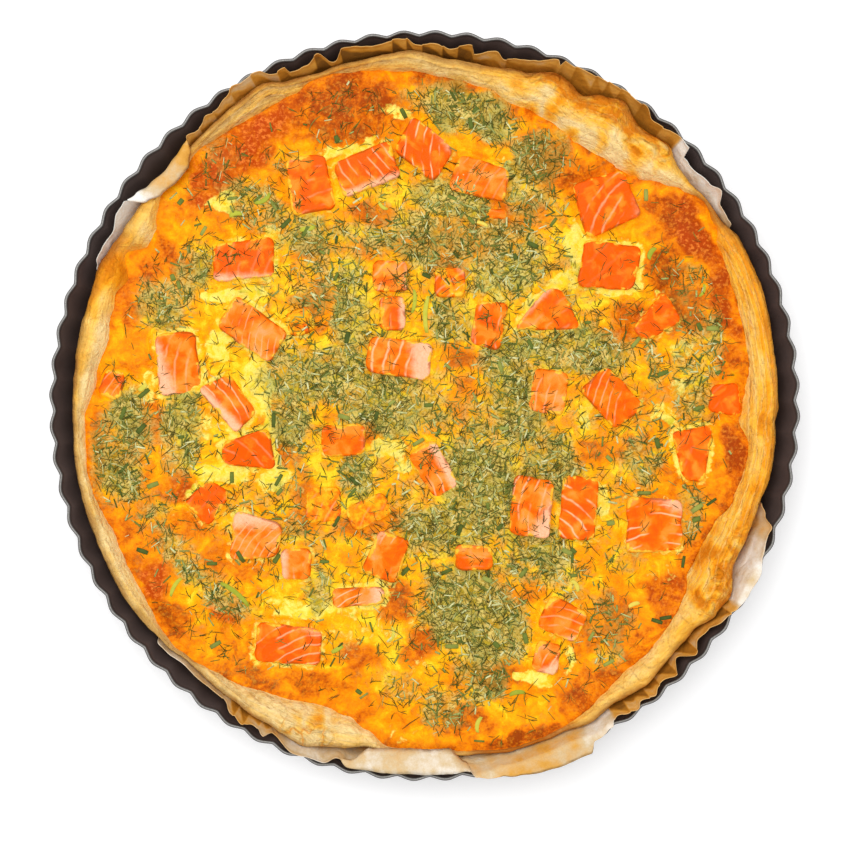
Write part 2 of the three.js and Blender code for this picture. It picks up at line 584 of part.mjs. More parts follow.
function herbGeometries(surface) {
  const random = seeded(HERB_SEED);
  const reach = (CHIVE_LENGTH + CHIVE_MORE_LENGTH) / 2 + HERB_CLEAR;
  const chives = scatter(random, CHIVE_COUNT, CHIVE_SPACING, reach, () => true);
  const thick = (x, y) => (
    DILL_PLACES.some((place) => inPlace(place, x, y) < 1)
    && chives.every((other) => Math.hypot(other.x - x, other.y - y) > CHIVE_TO_DILL)
  );
  const dillReach = (DILL_LENGTH + DILL_MORE_LENGTH) / 2 + HERB_CLEAR;
  const dill = scatter(random, DILL_COUNT, DILL_SPACING, dillReach, thick);
  const chive = (place) => {
    const length = CHIVE_LENGTH + CHIVE_MORE_LENGTH * random();
    return lyingStick(surface, place, length, CHIVE_RADIUS, CHIVE_RADIUS, CHIVE_SIDES);
  };
  const leaf = (place) => {
    const length = DILL_LENGTH + DILL_MORE_LENGTH * random();
    return lyingStick(surface, place, length, DILL_RADIUS, DILL_RADIUS * DILL_TAPER, DILL_SIDES);
  };
  return [...chives.map(chive), ...dill.map(leaf)];
}

function fillingGeometry() {
  const plain = custardGeometry();
  const surface = new THREE.Mesh(plain);
  let solid = toManifold(plain);
  for (const chunk of CHUNKS) solid = solid.subtract(toManifold(pocketGeometry(chunk)));
  for (const herb of herbGeometries(surface)) solid = solid.add(toManifold(herb));
  const bodies = solid.decompose().sort((one, other) => other.volume() - one.volume());
  return toGeometry(bodies[0]);
}

// Materials
const material = (color, roughness, metalness = 0) => (
  new THREE.MeshStandardMaterial({ color, roughness, metalness, flatShading: true })
);
const tinMaterial = material('#45403f', 0.42, 0.6);
const paperMaterial = material('#cdb088', 0.8);
const crustMaterial = material('#e8bd78', 0.75);
const custardMaterial = material('#edb32f', 0.4);
const salmonMaterial = material('#f5813c', 0.4);

function piece(name, geometry, look) {
  const mesh = new THREE.Mesh(geometry, look);
  mesh.name = name;
  return mesh;
}

const quiche = new THREE.Group();
quiche.add(piece('tin', tinGeometry(), tinMaterial));
quiche.add(piece('parchment', paperGeometry(), paperMaterial));
quiche.add(piece('crust', crustGeometry(), crustMaterial));
quiche.add(piece('filling', fillingGeometry(), custardMaterial));
CHUNKS.forEach((chunk, at) => {
  const name = `salmon_${String(at + 1).padStart(2, '0')}`;
  quiche.add(piece(name, chunkGeometry(chunk), salmonMaterial));
});

export default quiche;
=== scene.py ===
# Salmon quiche in its fluted tin: the finished looks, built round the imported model.
# Lengths are worked out in millimetres and turned into metres where a mesh is made.
# Angles are in degrees, anticlockwise from +X as seen from above.

import functools
import math

import bpy
import numpy as np
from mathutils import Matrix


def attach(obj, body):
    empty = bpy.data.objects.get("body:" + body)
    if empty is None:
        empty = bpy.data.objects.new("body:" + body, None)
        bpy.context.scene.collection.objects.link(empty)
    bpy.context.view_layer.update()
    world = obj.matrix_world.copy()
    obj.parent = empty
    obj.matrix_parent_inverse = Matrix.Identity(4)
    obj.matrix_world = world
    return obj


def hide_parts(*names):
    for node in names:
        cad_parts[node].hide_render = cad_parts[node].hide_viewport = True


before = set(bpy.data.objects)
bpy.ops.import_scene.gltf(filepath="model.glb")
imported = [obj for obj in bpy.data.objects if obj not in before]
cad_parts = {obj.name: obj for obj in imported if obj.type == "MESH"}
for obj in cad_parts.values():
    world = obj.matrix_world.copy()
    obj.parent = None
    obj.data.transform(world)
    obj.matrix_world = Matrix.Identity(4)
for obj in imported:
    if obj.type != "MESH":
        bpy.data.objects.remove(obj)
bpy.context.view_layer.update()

MM = 0.001
BODY = "root"
TAU = 2 * math.pi

# Camera over the quiche, and the width of what it sees at the height of the tin's rim
CAMERA_OVER_RIM = 700
VIEW_WIDTH = 323
VIEW_CENTRE = (0.13, -7.4)
SENSOR_WIDTH = 36

# Floor and lights, with lengths in metres, and of each lamp its name, place, size and power
FLOOR_HALF = 2.0
FLOOR_WHITE = (0.97, 0.97, 0.97, 1)
FLOOR_GLOW = 0.13
ROOM_LIGHT = 0.64
LAMPS = (("key", (-0.28, 0.36, 1.1), 0.9, 8.2), ("fill", (0.45, -0.35, 1.2), 1.4, 4.5))

# Tin
TIN_HEIGHT = 30
TIN_RIM_RADIUS = 142.05
TIN_BASE_RADIUS = 131
TIN_WALL = 1.0
TIN_FOOT_INSET = 0.8
TIN_FOOT_HEIGHT = 0.5
TIN_OUTSIDE_HEIGHTS = (10, 20, 28.2)
TIN_INSIDE_HEIGHTS = (28.2, 15, 3)
TIN_INSIDE_FOOT = (2, 0.6)
FLUTES = 72
FLUTE_DEPTH = 0.8
FLUTE_TURN = 3.3
STEPS_PER_FLUTE = 12
BEAD_RADIUS = 0.68
BEAD_POINTS = 13

# Baking paper
PAPER_THICKNESS = 0.16
PAPER_BASE_RADIUS = 128.6
PAPER_MEAN_RADIUS = 138
PAPER_BOTTOM = 1.6
PAPER_TOP = 32
PAPER_LOW = 17
PAPER_LOW_EDGE = 132
PAPER_RISE = 5
PAPER_LEAN_EDGE = 133
PAPER_LEAN_HEIGHT = 24
PAPER_LEAN = 1.3
PAPER_WANDER = 0.3
FOLD_OVER_CREST = 2.2
FOLD_END_OVER_CREST = 1.4
PAPER_CLEAR = 0.5
PAPER_STEPS = 1440
PAPER_WALL_RINGS = 18
PAPER_LIP_RINGS = 6
PLEAT_STEP = 4.6
PLEAT_DEPTH = 0.5
CRINKLE = 0.35

# Pastry case
CRUST_BOTTOM = 2.3
CRUST_BASE_RADIUS = 127.5
CRUST_MEAN_RADIUS = 133
CRUST_FLOOR = 6
CRUST_WAIST_HEIGHT = 14
CRUST_FLOOR_EDGE = 121.5
CRUST_FLOOR_INSET = 2.5
CRUST_THIN_WALL = 1.3
CRUST_FULL_WIDTH = 9
CREST_OVER_CUSTARD = 0.9
CREST_RISE = 4.7
CREST_PUFF = 0.16
SHOULDER_DROP = 0.5
SHOULDER_ROUNDING = 2.9
OUTER_WANDER = 0.45
INNER_WANDER = 0.7
CREST_WANDER = 0.9
CRUST_STEPS = 1440
CRUST_SIDE_ROWS = 9
CRUST_TOP_ROWS = 38
FLAKE_STEP = 2.6
STRATA_STEP = 3.4
PUFF_WIDTH = 15
SEGMENT_STEP = 3.9
SEGMENT_FROM = 292
SEGMENT_TO = 327
SEGMENT_FADE = 4
EDGE_BROWN_AND_SHADE_WIDTH = 4.4
LAY_START = 272

# Heights of the pastry's relief
SHEET_RISE = 0.35
RIDGE_RISE = 0.35
FLAKE_RISE = 0.75
LUMP_RISE = 0.8
PUFF_RISE = 1.3
WRINKLE_RISE = 2.2
SEGMENT_RISE = 1.3
STEP_RISE = 0.8

# The pastry rim's profile: shares of its width, the climb to its crest, and the fall to the custard
PROFILE_AT = [0, 0.04, 0.1, 0.18, 0.28, 0.45, 0.68, 0.85, 1]
PROFILE_CLIMB = [0, 0.38, 0.68, 0.88, 1, 1, 1, 1, 1]
PROFILE_FALL = [0, 0, 0, 0, 0, 0.02, 0.2, 0.55, 1]

# Custard
CUSTARD_LEVEL = 23.2
CUSTARD_EDGE_LIFT = 1
CUSTARD_LIFT_FROM = 95
CUSTARD_LIFT_TO = 125
CUSTARD_RINGS = 165
CUSTARD_BOTTOM = 6.4
CUSTARD_FOOT_CLEAR = 0.4
CUSTARD_OVERLAP = 0.9
CUSTARD_BROWN_AND_SHADE_EDGE = 5
CUSTARD_DRIFT = 5
CUSTARD_LUMPS = 0.6
HERB_LUMPS = 0.5

# Salmon
CHUNK_DEPTH = 10
CHUNK_CORNER = 2.7
CHUNK_BEVEL = 1.1
CHUNK_CREEP = 3.4
CHUNK_STEPS = 84
CHUNK_RINGS = 16
CHUNK_BEVEL_RINGS = 6
CHUNK_REACH = 30.0
CHUNK_HALVINGS = 30
CHUNK_SLOPE_REACH = 5
CHUNK_FLANK = 4
CHUNK_FOOT_INSET = 1
CHUNK_WANDER = 0.55
CHUNK_LUMPS = 0.5

# Herbs
DILL_SPARSE = 0.055
DILL_DENSE = 0.85
DILL_RADIUS = 0.165
CHIVE_RADIUS = 0.95

# How herbs are scattered: random seed, places tried, reach from the middle, margin inside the pastry
DILL_SCATTER = (7, 17000, 133, 3)
CHOPPED_SCATTER = (9, 26000, 131, 3)
CHIVE_SCATTER = (8, 1700, 128, 4)
STRAND_SCATTER = (11, 340, 124, 9)
LEEK_SEED = 10

# Shapes of herb pieces: sides, points along, how far the ends taper, height against width
DILL_SHAPE = (3, 3, 0.5, 1)
CHOPPED_SHAPE = (4, 2, 0, 0.6)
CHIVE_SHAPE = (12, 4, 0.12, 0.6)
STRAND_SHAPE = (3, 7, 0.5, 1)
LEEK_SHAPE = (12, 6, 0.3, 0.4)

# Pastry rim stations: angle, outer radius, inner radius where the custard begins.
CRUST_STATIONS = np.array([
    [0, 134.7, 122.2], [10, 135.2, 124.9], [20, 136.4, 125.3], [28, 136, 127.2], [32, 133.9, 130.6],
    [36, 133.5, 132.2], [40, 132.6, 128.4], [43, 132.7, 124.2], [47, 136, 119.2], [52, 134.1, 116.9],
    [57, 138.5, 115.4], [60, 136.4, 115.7], [63, 132.9, 117.3], [68, 136.4, 118.8], [74, 132.7, 119.9],
    [79, 131.8, 123.4], [85, 132.6, 125.2], [93, 135.6, 127.7], [100, 134.5, 129.5], [108, 133.7, 131],
    [113, 134.8, 128.9], [117, 137.7, 128], [122, 136, 128.4], [128, 134.5, 129.3], [132, 133.6, 130.4],
    [135, 132.2, 129], [138, 131.5, 128.6], [141, 132.4, 128.8], [144, 133, 126], [147, 133, 122.4],
    [150, 133.2, 122.2], [153, 134.2, 128.2], [157, 135.2, 123.4], [160, 134.5, 124.9], [169, 134.5, 123.4],
    [175, 134.3, 126.1], [183, 134.8, 129.9], [193, 135.6, 131], [203, 135.6, 128.4], [213, 136.2, 129.1],
    [223, 135, 132.9], [227, 133.3, 131.4], [235, 134.1, 128], [243, 135.6, 124.2], [250, 137.7, 121.1],
    [256, 134.5, 121.9], [260, 132.6, 126.1], [264, 133.7, 131], [271, 134.5, 131.6], [278, 134.8, 133.3],
    [284, 136.3, 134.9], [290, 136, 134.6], [293, 135.6, 133.7], [298, 136.8, 131.4], [302, 134.8, 129.1],
    [308, 136.2, 127.2], [315, 134.1, 126.1], [320, 133.7, 124.2], [324, 136.8, 122.2], [328, 137.1, 118.4],
    [333, 132.6, 118], [338, 132.9, 118.8], [343, 133.3, 123], [349, 134.8, 124.5], [353, 134.7, 124.5],
    [357, 133.7, 120.3],
])

# Pastry colour stations: angle, how golden the outer half is, how golden the inner half is,
# how brown its outermost edge is, partly real browning and partly painted shade where it falls away,
# how strongly its flakes run round, and how much painted shade darkens it.
CRUST_TONES = np.array([
    [0, 0.78, 0.35, 0.5, 1, 0], [12, 0.78, 0.36, 0.5, 1, 0], [22, 0.78, 0.55, 0.4, 1, 0],
    [33, 0.8, 0.8, 1, 0.7, 0.35], [42, 0.4, 0.05, 0.4, 0.3, 0], [48, 0.7, 0.05, 0.5, 0.5, 0],
    [58, 0.95, 0.05, 0.8, 0.7, 0], [68, 0.85, 0.1, 1, 0.7, 0.1], [76, 0.55, 0.2, 1, 0.5, 0.3],
    [90, 0.25, 0.2, 0.7, 0.35, 0.75], [105, 0.4, 0.9, 0.8, 0.5, 0.8], [116, 0.5, 0.4, 0.9, 1, 0.75],
    [128, 0.4, 0.35, 0.7, 0.9, 0.72], [144, 0.55, 0.38, 0.6, 0.2, 0.35], [148.5, 0.3, 0.08, 0.7, 0.1, 0.3],
    [151.5, 0.8, 0.5, 0.9, 0.1, 0.5], [156, 1, 0.9, 0.8, 0.2, 0], [162, 0.75, 0.3, 0.7, 0.3, 0],
    [167, 0.35, 0, 0.8, 0.3, 0.2], [174, 0.5, 0, 1, 0.3, 0.3], [188, 0.2, 0.1, 1, 0.4, 0.4],
    [205, 0.2, 0.08, 1, 0.5, 0.42], [222, 0.15, 0.15, 0.8, 0.3, 0.5], [236, 0.1, 0.05, 0.6, 0.55, 0.58],
    [250, 0.15, 0.08, 0.55, 0.65, 0.4], [262, 0.2, 0.12, 0.4, 0.5, 0.18], [275, 0.4, 0.2, 0.6, 0.4, 0.3],
    [281, 1, 1, 1, 0.3, 1], [291, 1, 1, 1, 0.3, 0.9], [297, 0.4, 0.35, 0.8, 0.3, 0.35],
    [310, 0.4, 0.2, 0.6, 0.25, 0.25], [322, 0.5, 0.26, 0.6, 0.4, 0.15], [329, 0.75, 0.5, 0.4, 1, 0],
    [345, 0.8, 0.6, 0.4, 1, 0],
])

# Paper edge stations: angle, radius where its wall ends, and how far its last strip then turns,
# outward where positive and back over the quiche where negative.
PAPER_STATIONS = np.array([
    [31, 134.5, 0], [34, 135.6, 0], [36, 138.3, 0], [38, 136.8, 0], [42, 135.6, 0], [43.8, 136, 0],
    [44.2, 139.4, 0], [47, 139.8, 0], [50, 138.3, 0], [51.4, 137.9, 0], [53.6, 140.6, 0], [60, 140.4, 0],
    [66, 139.8, 0], [67.8, 140.6, 0], [68.2, 138.3, 0], [68.8, 140, 0], [72, 137.1, 0], [75, 136, 0],
    [77, 135.2, 0], [78.5, 137.1, 0], [82, 135.2, 0], [82.5, 137.9, 0], [86, 135.6, 0], [88.3, 137.3, 0],
    [91.5, 136.6, 0], [93, 139, 0], [98, 137.5, 0], [103, 138.3, 0], [104.8, 134.8, 0], [107, 138.9, 0],
    [109, 136.8, 0], [112, 136, 0], [112.5, 138.3, 0], [115, 137.1, 0], [117, 140.5, 0], [119, 139.4, 0],
    [121, 140.6, 0], [123, 138.3, 0], [125, 136, 0], [127, 137.5, 0], [129, 135.2, 0], [131.5, 136.4, 0],
    [133, 134.4, -4.4], [135, 133.4, -6.4], [138, 132.6, -6], [141, 133.8, -5.8], [143.6, 136, -5],
    [146, 137.4, 0], [148, 137.5, 0], [151, 135.6, 0], [153, 136.2, 0], [156, 135.6, 0], [157, 133.6, 0],
    [159, 132, 0], [220, 132, 0], [222, 133.6, 0], [227, 134.5, 0], [235, 134.5, 0], [238, 137.9, 0],
    [240, 138.7, 0], [242, 137.1, 0], [244, 139, 0], [245, 135.6, 0], [250, 139.8, 0], [254, 140.2, 0],
    [256, 137.5, 0], [258, 140.4, -3], [261, 140, -8], [264, 140, -9], [274, 140, -9], [276.5, 139.6, -3],
    [278, 140.6, 1.2], [280, 140.8, 2.4], [284, 139, 4.2], [288, 137.2, 6], [292, 136.2, 6.9],
    [295.6, 136.4, 6.6], [297, 139, 1.8], [300.4, 139.6, 1.4], [301, 138.8, 0], [302, 138.2, 0],
    [303.5, 139.2, 0], [305, 140.2, 0], [306.4, 137.8, 0], [308.5, 140, 0], [309.8, 137.4, 0],
    [311, 137.8, 0], [313, 139.2, 0], [315, 135.4, 0], [317.5, 139, 0], [319.4, 136.6, 0], [322, 137.2, 0],
    [325, 138.6, 0], [327, 140.4, 0.6], [329, 140, 2], [333, 140, 2.4], [336, 139.2, 0.6], [339, 138.6, 0],
    [340.5, 139, 0], [342, 136, 0], [345, 132, 0], [389.5, 131.5, 0],
])

# Paper tone stations: angle, how dark its wall is, partly from browning and partly as painted shade in the
# gap by the pastry, and how browned its strip beyond the wall is, a tone also given to the lit faces of its
# pleats as painted light.
PAPER_TONES = np.array([
    [31, 0.35, 0.25], [33, 0.2, 0.12], [45.8, 0.05, 0], [46.4, 0.7, 0.5], [60, 0.75, 0.5], [68, 0.65, 0.4],
    [76, 0.65, 0.35], [84, 0.95, 0.45], [106, 1, 0.5], [113, 0.75, 0.4], [121, 0.6, 0.35],
    [130, 0.65, 0.35], [133, 0.45, 0.45], [142, 0.2, 0.2], [143.5, 0, 0], [158, 0, 0], [221, 0.25, 0.15],
    [228, 0.35, 0.22], [239, 0.75, 0.34], [250, 0.3, 0.18], [262, 0.25, 0.2], [276, 0.25, 0.18],
    [278, 0.25, 0.24], [285, 0.25, 0.36], [295, 0.35, 0.34], [297.2, 0.15, 0.2], [301, 0.15, 0.15],
    [301.6, 0.8, 0.34], [327, 0.85, 0.36], [328, 0.15, 0.1], [338, 0.2, 0.1], [340, 0.4, 0.3],
])

# Raised places of the custard: x, y, half length, half width, turn, height.
RAISED_PLACES = np.array([
    [-30.5, 115.1, 19, 12.5, 15, 4.5], [-70.7, 97.9, 25, 8.5, 45, 2], [108.5, 55, 27, 6, -70, 1.5],
    [118, -19.7, 5.5, 10.5, 0, 1.5], [71, -101.3, 30, 7, 42, 2], [28.9, -126, 20, 6, 12, 1.5],
    [9.7, 121.6, 19, 5, -5, 1.6], [63.3, -19, 9.5, 6, 0, 1.5], [72.9, 34.7, 8, 10, 0, 1.5],
    [-99.4, -74.5, 10, 6, -50, 1.5], [-77.6, -80.2, 7, 5, 0, 1.2], [-125, -17, 4, 18, 0, 1.2],
    [-99.4, 71, 9, 6, 45, 1.2], [36.5, 110, 7, 5, -20, 1.5],
])

# Soft waves of the custard: length across, heading, phase, height.
CUSTARD_WAVES = [
    (61, 20, 0.4, 0.45), (47, 98, 1.9, 0.4), (37, 151, 3.1, 0.35), (29, 62, 4.4, 0.3), (23, 128, 5.2, 0.25),
]

# Browned places of the custard: x, y, half length, half width, turn, how brown, how reddish.
BROWN_PLACES = np.array([
    [-30, 114, 25, 17, 15, 1.05, 0.3], [-48, 118, 14, 6, 30, 0.95, 0.3], [-70, 98, 28, 10, 45, 0.95, 1],
    [8, 124, 18, 4, -8, 0.85, 0], [36, 110, 8, 5, -20, 0.75, 0], [103, 66, 15, 7, -60, 1.35, 0.8],
    [114, 42, 20, 5.5, -72, 1.05, 0.5], [93, 72, 10, 8, -50, 1.1, 0.3], [92, 52, 9, 10, 0, 1.05, 0],
    [80, 32, 10, 9, 0, 0.75, 0.6], [100, 38, 12, 12, 0, 0.95, 0], [118, -18, 5, 12, 0, 1.15, 0.4],
    [116, 18, 5, 8, 0, 0.8, 0.2], [66, -18, 12, 6, 0, 0.65, 0.1], [78, 24, 12, 5, -20, 0.5, 0],
    [88, -90, 22, 9, 48, 0.75, 0], [64, -108, 16, 8, 35, 0.85, 0.2], [36, -127, 20, 4, 12, 0.95, 0],
    [70, -84, 12, 13, 0, 0.75, 0], [92, -70, 9, 9, 40, 0.85, 0.5], [-125, -17, 3.5, 20, 0, 0.75, 0],
    [-114, 36, 4, 12, 10, 0.65, 0.3], [-100, 55, 10, 8, 30, 0.7, 0.2], [-104, -66, 8, 6, -40, 0.85, 0.9],
    [-99, -80, 14, 7, -50, 0.8, 0], [-77, -80, 8, 6, 0, 0.6, 1], [-68, -104, 16, 5, -25, 0.75, 0],
    [-42, -107, 16, 5, -12, 0.8, 0], [-24, -96, 8, 6, 0, 0.65, 0.3], [-2, -93, 8, 7, 0, 0.85, 0.4],
    [-11, -75, 6, 10, 0, 0.8, 0.3], [14, -120, 14, 6, 0, 0.85, 0], [-20, 74, 9, 5, 0, 0.7, 0.4],
    [38, 72, 11, 7, 20, 0.65, 0.3], [27, 74, 6, 5, 0, 0.6, 0.4], [-42, 38, 8, 10, 0, 0.65, 0.1],
    [-19, -10, 6, 5, 0, 0.75, 0.3], [-105, -4, 6, 9, 0, 0.6, 0.5], [-96, -33, 8, 6, 0, 0.7, 0.7],
    [16, 17, 8, 7, 0, 0.7, 0.1], [15, 2, 6, 9, 0, 0.6, 0], [-52, -20, 6, 7, 0, 0.65, 0.2],
    [-45, -38, 8, 12, 0, 0.6, 0.3], [-20, -45, 16, 7, 10, 0.65, 0.2], [-30, -56, 14, 8, 0, 0.15, 0],
    [84, -14, 10, 5, 0, 0.6, 0.1], [-100, 74, 12, 8, 45, 0.55, 0.2], [-84, 84, 13, 7, 50, 0.95, 1],
    [105, -56, 7, 12, -20, 0.75, 0], [52, 92, 20, 12, -30, 0.9, 0.1], [10, 62, 26, 9, 0, 0.6, 0],
    [90, 88, 12, 5, -35, 0.65, 0.7], [-45, 60, 10, 9, 0, 0.55, 0], [-90, -46, 14, 6, 0, 0.6, 0.2],
    [-72, -60, 14, 8, 0, 0.55, 0.1], [-16, 62, 14, 5, 0, 0.5, 0.1], [8, 52, 8, 5, 0, 0.55, 0.6],
    [-60, 98, 8, 6, 20, 0.6, 0.3], [38, -72, 10, 5, 0, 0.6, 0], [100, -28, 10, 8, 0, 0.6, 0],
    [112, -50, 5, 10, -20, 0.6, 0], [-118, -48, 7, 9, 20, 0.65, 0], [30, -104, 12, 6, 0, 0.85, 0],
    [-95, 92, 10, 4, 45, 0.6, 0],
])

# Pale places of the custard: x, y, half length, half width, turn, how pale.
PALE_PLACES = np.array([
    [-74, 43.5, 15, 3.4, 0, 1.1], [-80, 23, 5, 8, 0, 0.9], [-63, 8, 6, 14, 10, 1.1],
    [-86, -8, 8, 7, 0, 0.55], [-58, -14, 3.5, 12, 0, 1.1], [-78, -27, 12, 5, 0, 1],
    [-58, -28, 8, 5, 0, 0.9], [-70, -43, 9, 5, 0, 0.7], [-44, -80, 16, 3.2, 5, 0.9],
    [-18, -70, 13, 5, 20, 0.6], [-14, -15, 8, 5, 0, 0.8], [-6, -22, 6, 4, 0, 0.7], [-79, 77, 8, 5, 0, 0.9],
    [-64, 84, 8, 5, 0, 0.5], [46, 44, 14, 3.2, 35, 1.1], [58, 58, 3.4, 15, 0, 1], [74, 45, 9, 3, 0, 1.1],
    [63, -2, 3.2, 8, -20, 0.8], [92, -4, 7, 4, 0, 0.7], [67, -36, 2.8, 9, 0, 0.9],
    [40, -104, 9, 3.4, 10, 0.9], [-9, -126, 12, 3, 0, 0.5], [-11, 114, 7, 4, -20, 0.7],
    [-30, 98, 12, 2.4, 15, 1], [98, 22, 7, 5, 0, 0.6], [-36, 12, 6, 2.4, 0, 0.4], [4, 84, 7, 6, 0, 0.6],
    [10, 108, 9, 3, 30, 0.5], [-20, -86, 22, 7, 0, 0.45], [90, -62, 9, 7, 0, 0.4], [-108, 8, 6, 8, 0, 0.7],
    [-98, -44, 7, 5, 0, 0.5], [0, -100, 8, 5, 0, 0.5], [100, 8, 7, 5, 0, 0.6], [55, -96, 3, 8, -10, 0.7],
    [-60, 64, 4, 6, 0, 0.7], [-53, -76, 10, 3, 0, 0.7], [28, 92, 9, 3, -10, 0.6], [26, 44, 4, 8, 0, 0.7],
])

# Places thick with dill: x, y, half length, half width, turn, how thick.
DILL_PLACES = np.array([
    [-32, 111, 17, 9, 15, 0.17], [-38, 13, 23, 11, 0, 1], [-12, 2, 20, 12, 0, 1], [-28, 40, 6, 20, 0, 0.9],
    [-41, 65, 14, 7, 0, 0.85], [-67, 77, 13, 7, -25, 0.7], [-88, 52, 5, 10, -25, 0.8],
    [-100, 38, 10, 9, -30, 0.8], [-115, -15, 10, 20, -5, 1], [-94, -10, 7, 15, 0, 0.9],
    [5, 64, 27, 9, -3, 0.9], [30, 55, 14, 14, 0, 0.8], [12, 80, 14, 9, -10, 0.9], [10, 33, 8, 10, 0, 0.8],
    [41, 86, 9, 17, -10, 0.9], [46, 98, 11, 6, -25, 0.9], [17, 113, 19, 8, -18, 1],
    [55, 22, 20, 9, -8, 1.05], [34, 4, 10, 23, 12, 1.05], [48, -22, 12, 11, -30, 0.9],
    [21, -30, 14, 23, 0, 1.1], [8, -48, 17, 9, 0, 1], [41, -57, 15, 10, 0, 0.9], [14, -75, 14, 14, 0, 1.15],
    [26, -84, 13, 13, 0, 1.1], [21, -102, 9, 11, 0, 1], [8, -116, 8, 9, 0, 0.6], [-26, -29, 6, 9, 0, 0.9],
    [-63, -33, 11, 4, 0, 0.5], [-104, -42, 7, 8, 0, 0.5], [-94, -57, 10, 6, -60, 0.7],
    [-80, -69, 17, 5, -38, 0.8], [-41, -70, 4, 9, 0, 0.8], [83, -22, 6, 9, 0, 0.8], [104, 8, 9, 14, 0, 0.6],
    [106, 26, 8, 12, 0, 0.6], [100, 45, 8, 8, 0, 0.4], [-78, 96, 8, 6, 40, 0.38], [-8, -107, 9, 5, 0, 0.5],
    [54, -68, 9, 6, 0, 0.5], [68, -82, 9, 9, 0, 0.5], [70, -95, 5, 6, 0, 0.6], [76, -56, 8, 6, 0, 0.4],
    [101, -42, 5, 11, 0, 0.5], [-42, 48, 9, 12, 0, 0.6], [0, 118, 11, 6, -10, 0.5], [50, 75, 5, 8, 0, 0.6],
    [55, -31.5, 5.5, 5.5, 0, 1.1], [16, 84, 6, 6, 0, 1.1], [-50, 95, 8, 5, 0, 0.4],
    [-52, -2, 8, 12, 0, 0.9], [88, 16, 4, 8, 0, 0.6],
])

# Places where herbs lie over the salmon: x, y, half length, half width, turn, how thick.
DILL_OVER_SALMON = np.array([
    [16, 84, 8, 8, 0, 1.3], [-49, 82, 4, 8, 0, 0.6], [-12, 47, 6, 7, 0, 0.9], [-84, -36, 6, 5, 0, 0.7],
    [9.7, 47, 5, 5, 0, 0.6], [0, -20, 4, 6, 0, 0.6], [27, 33, 4, 6, 0, 0.7], [-33, -10, 6, 4, 0, 0.5],
    [-72, 60, 8, 3.5, 0, 0.8], [44, -33, 4, 6, 0, 0.4], [52, -92, 7, 4, 0, 0.4], [18, -58, 6, 4, 0, 0.5],
    [-119, 10, 5, 4, 0, 0.7], [-47, 33, 6, 5, 0, 0.8], [30, 90, 6, 4, -20, 0.5], [41, -45, 4, 4, 0, 0.4],
])

# Salmon chunks: x, y, length, width, turn, taper, skew, lean, and how far the top stands over the
# custard.
CHUNKS = np.array([
    [-69.4, 56, 23.6, 15, 3, -0.05, 0.1, 0, 1.4],
    [-44.2, 85, 22.2, 16.4, 100, 0.1, 0, 0, 1.8],
    [-22.2, 90.3, 23.5, 14.6, 18, 0, 0.1, 0, 1.6],
    [-0.5, 98.2, 20, 15.6, -30, 0, -0.2, 0, 3],
    [21.3, 86.9, 21.6, 13.6, -15, 0.2, 0, 0.1, 1.4],
    [27.6, 73.8, 7.6, 4.2, 0, 0, 0, 0, 0.8],
    [69.5, 78, 22, 20.6, 20, 0.15, 0, 0.1, 2.4],
    [70.8, 53.6, 22.2, 18, -10, 0.1, 0.1, 0, 1.8],
    [-66, 29.2, 25.2, 14.5, -32, 0.05, -0.1, 0, 2],
    [-94.6, 16.2, 23.8, 16.2, 96, 0.1, 0, 0, 2.2],
    [-74.7, 1.4, 20.6, 12.4, -56, 0.15, 0.1, 0.2, 2],
    [-68, -17.4, 19.6, 12.6, 5, -0.6, 0, 0.1, 1.6],
    [-83.1, -36.5, 14.5, 12.6, 50, 0.3, 0, 0.1, 1],
    [-64.6, -50.6, 18.8, 16.4, -6, 0.4, 0, 0, 2.2],
    [-119.6, 8.3, 11, 8.9, 72, 0.1, 0, 0, 0.8],
    [-47.9, 32.2, 10.5, 9.8, 20, 0, 0, 0, 0.8],
    [-12.4, 35.2, 13.2, 10.2, 90, 0, 0, 0, 1.4],
    [-13.2, 49.6, 13.6, 12.2, 0, 0, 0, 0.1, 1.2],
    [-9.8, 18.3, 24.6, 14.2, -8, -0.05, 0, 0, 2.2],
    [24.6, 31.1, 17.6, 12.2, 80, -0.1, 0, 0.15, 1.2],
    [48.3, 37, 15.8, 16.8, 90, 1.25, -0.12, 0, 1.8],
    [-31.2, -13.2, 16.8, 12.2, 3, 0, 0, 0, 1.4],
    [3.6, -24.6, 20.6, 11.5, -60, 0.1, 0, 0, 1.4],
    [47.5, 5.5, 16.8, 13.8, 80, 0.1, 0, 0, 1.2],
    [40.9, -38.8, 22.8, 15.8, 80, 0, 0.1, 0, 2],
    [59, -39.2, 24.6, 14, 85, 0, 0, 0, 2],
    [88, -45.7, 21.4, 20.6, 0, 0.15, 0, 0, 2.6],
    [88.9, 32.8, 17.4, 10.6, 41, -0.6, 0, -0.2, 1.6],
    [71.6, 2.9, 21.4, 14.5, -51, 0, 0.1, 0, 2],
    [115, 2.6, 11.8, 12.2, 0, -0.2, 0, 0.2, 1.2],
    [102.8, -18.6, 20.6, 12.2, -88, 0.7, 0, -0.2, 1.6],
    [-52.2, -91.5, 25.2, 14.5, -5, 0.1, 0, 0, 2.2],
    [-49.3, -60.8, 11.6, 12.2, 0, 0, 0, 0, 1],
    [-14.6, -57.6, 17.8, 13.6, 68, 0.15, 0, 0.1, 1.8],
    [-25.4, -73.2, 20, 7.4, 4, 0.2, 0, 0, 1],
    [18.9, -58.3, 14.5, 9.9, 0, 0.1, 0, 0, 1.2],
    [53, -81.8, 16.2, 13.4, -24, 0.1, 0, 0, 1.4],
    [46.7, -96.5, 12.2, 9.9, 80, 0, 0, 0, 1],
    [-38.8, -38, 13.8, 13.8, 0, 0.1, 0, 0, 0.8],
    [-21.4, -40.5, 17, 9.9, 25, 0, 0, 0, 0.8],
    [9.7, 47.2, 12.2, 11.5, 0, 0.1, 0, 0, 1],
])
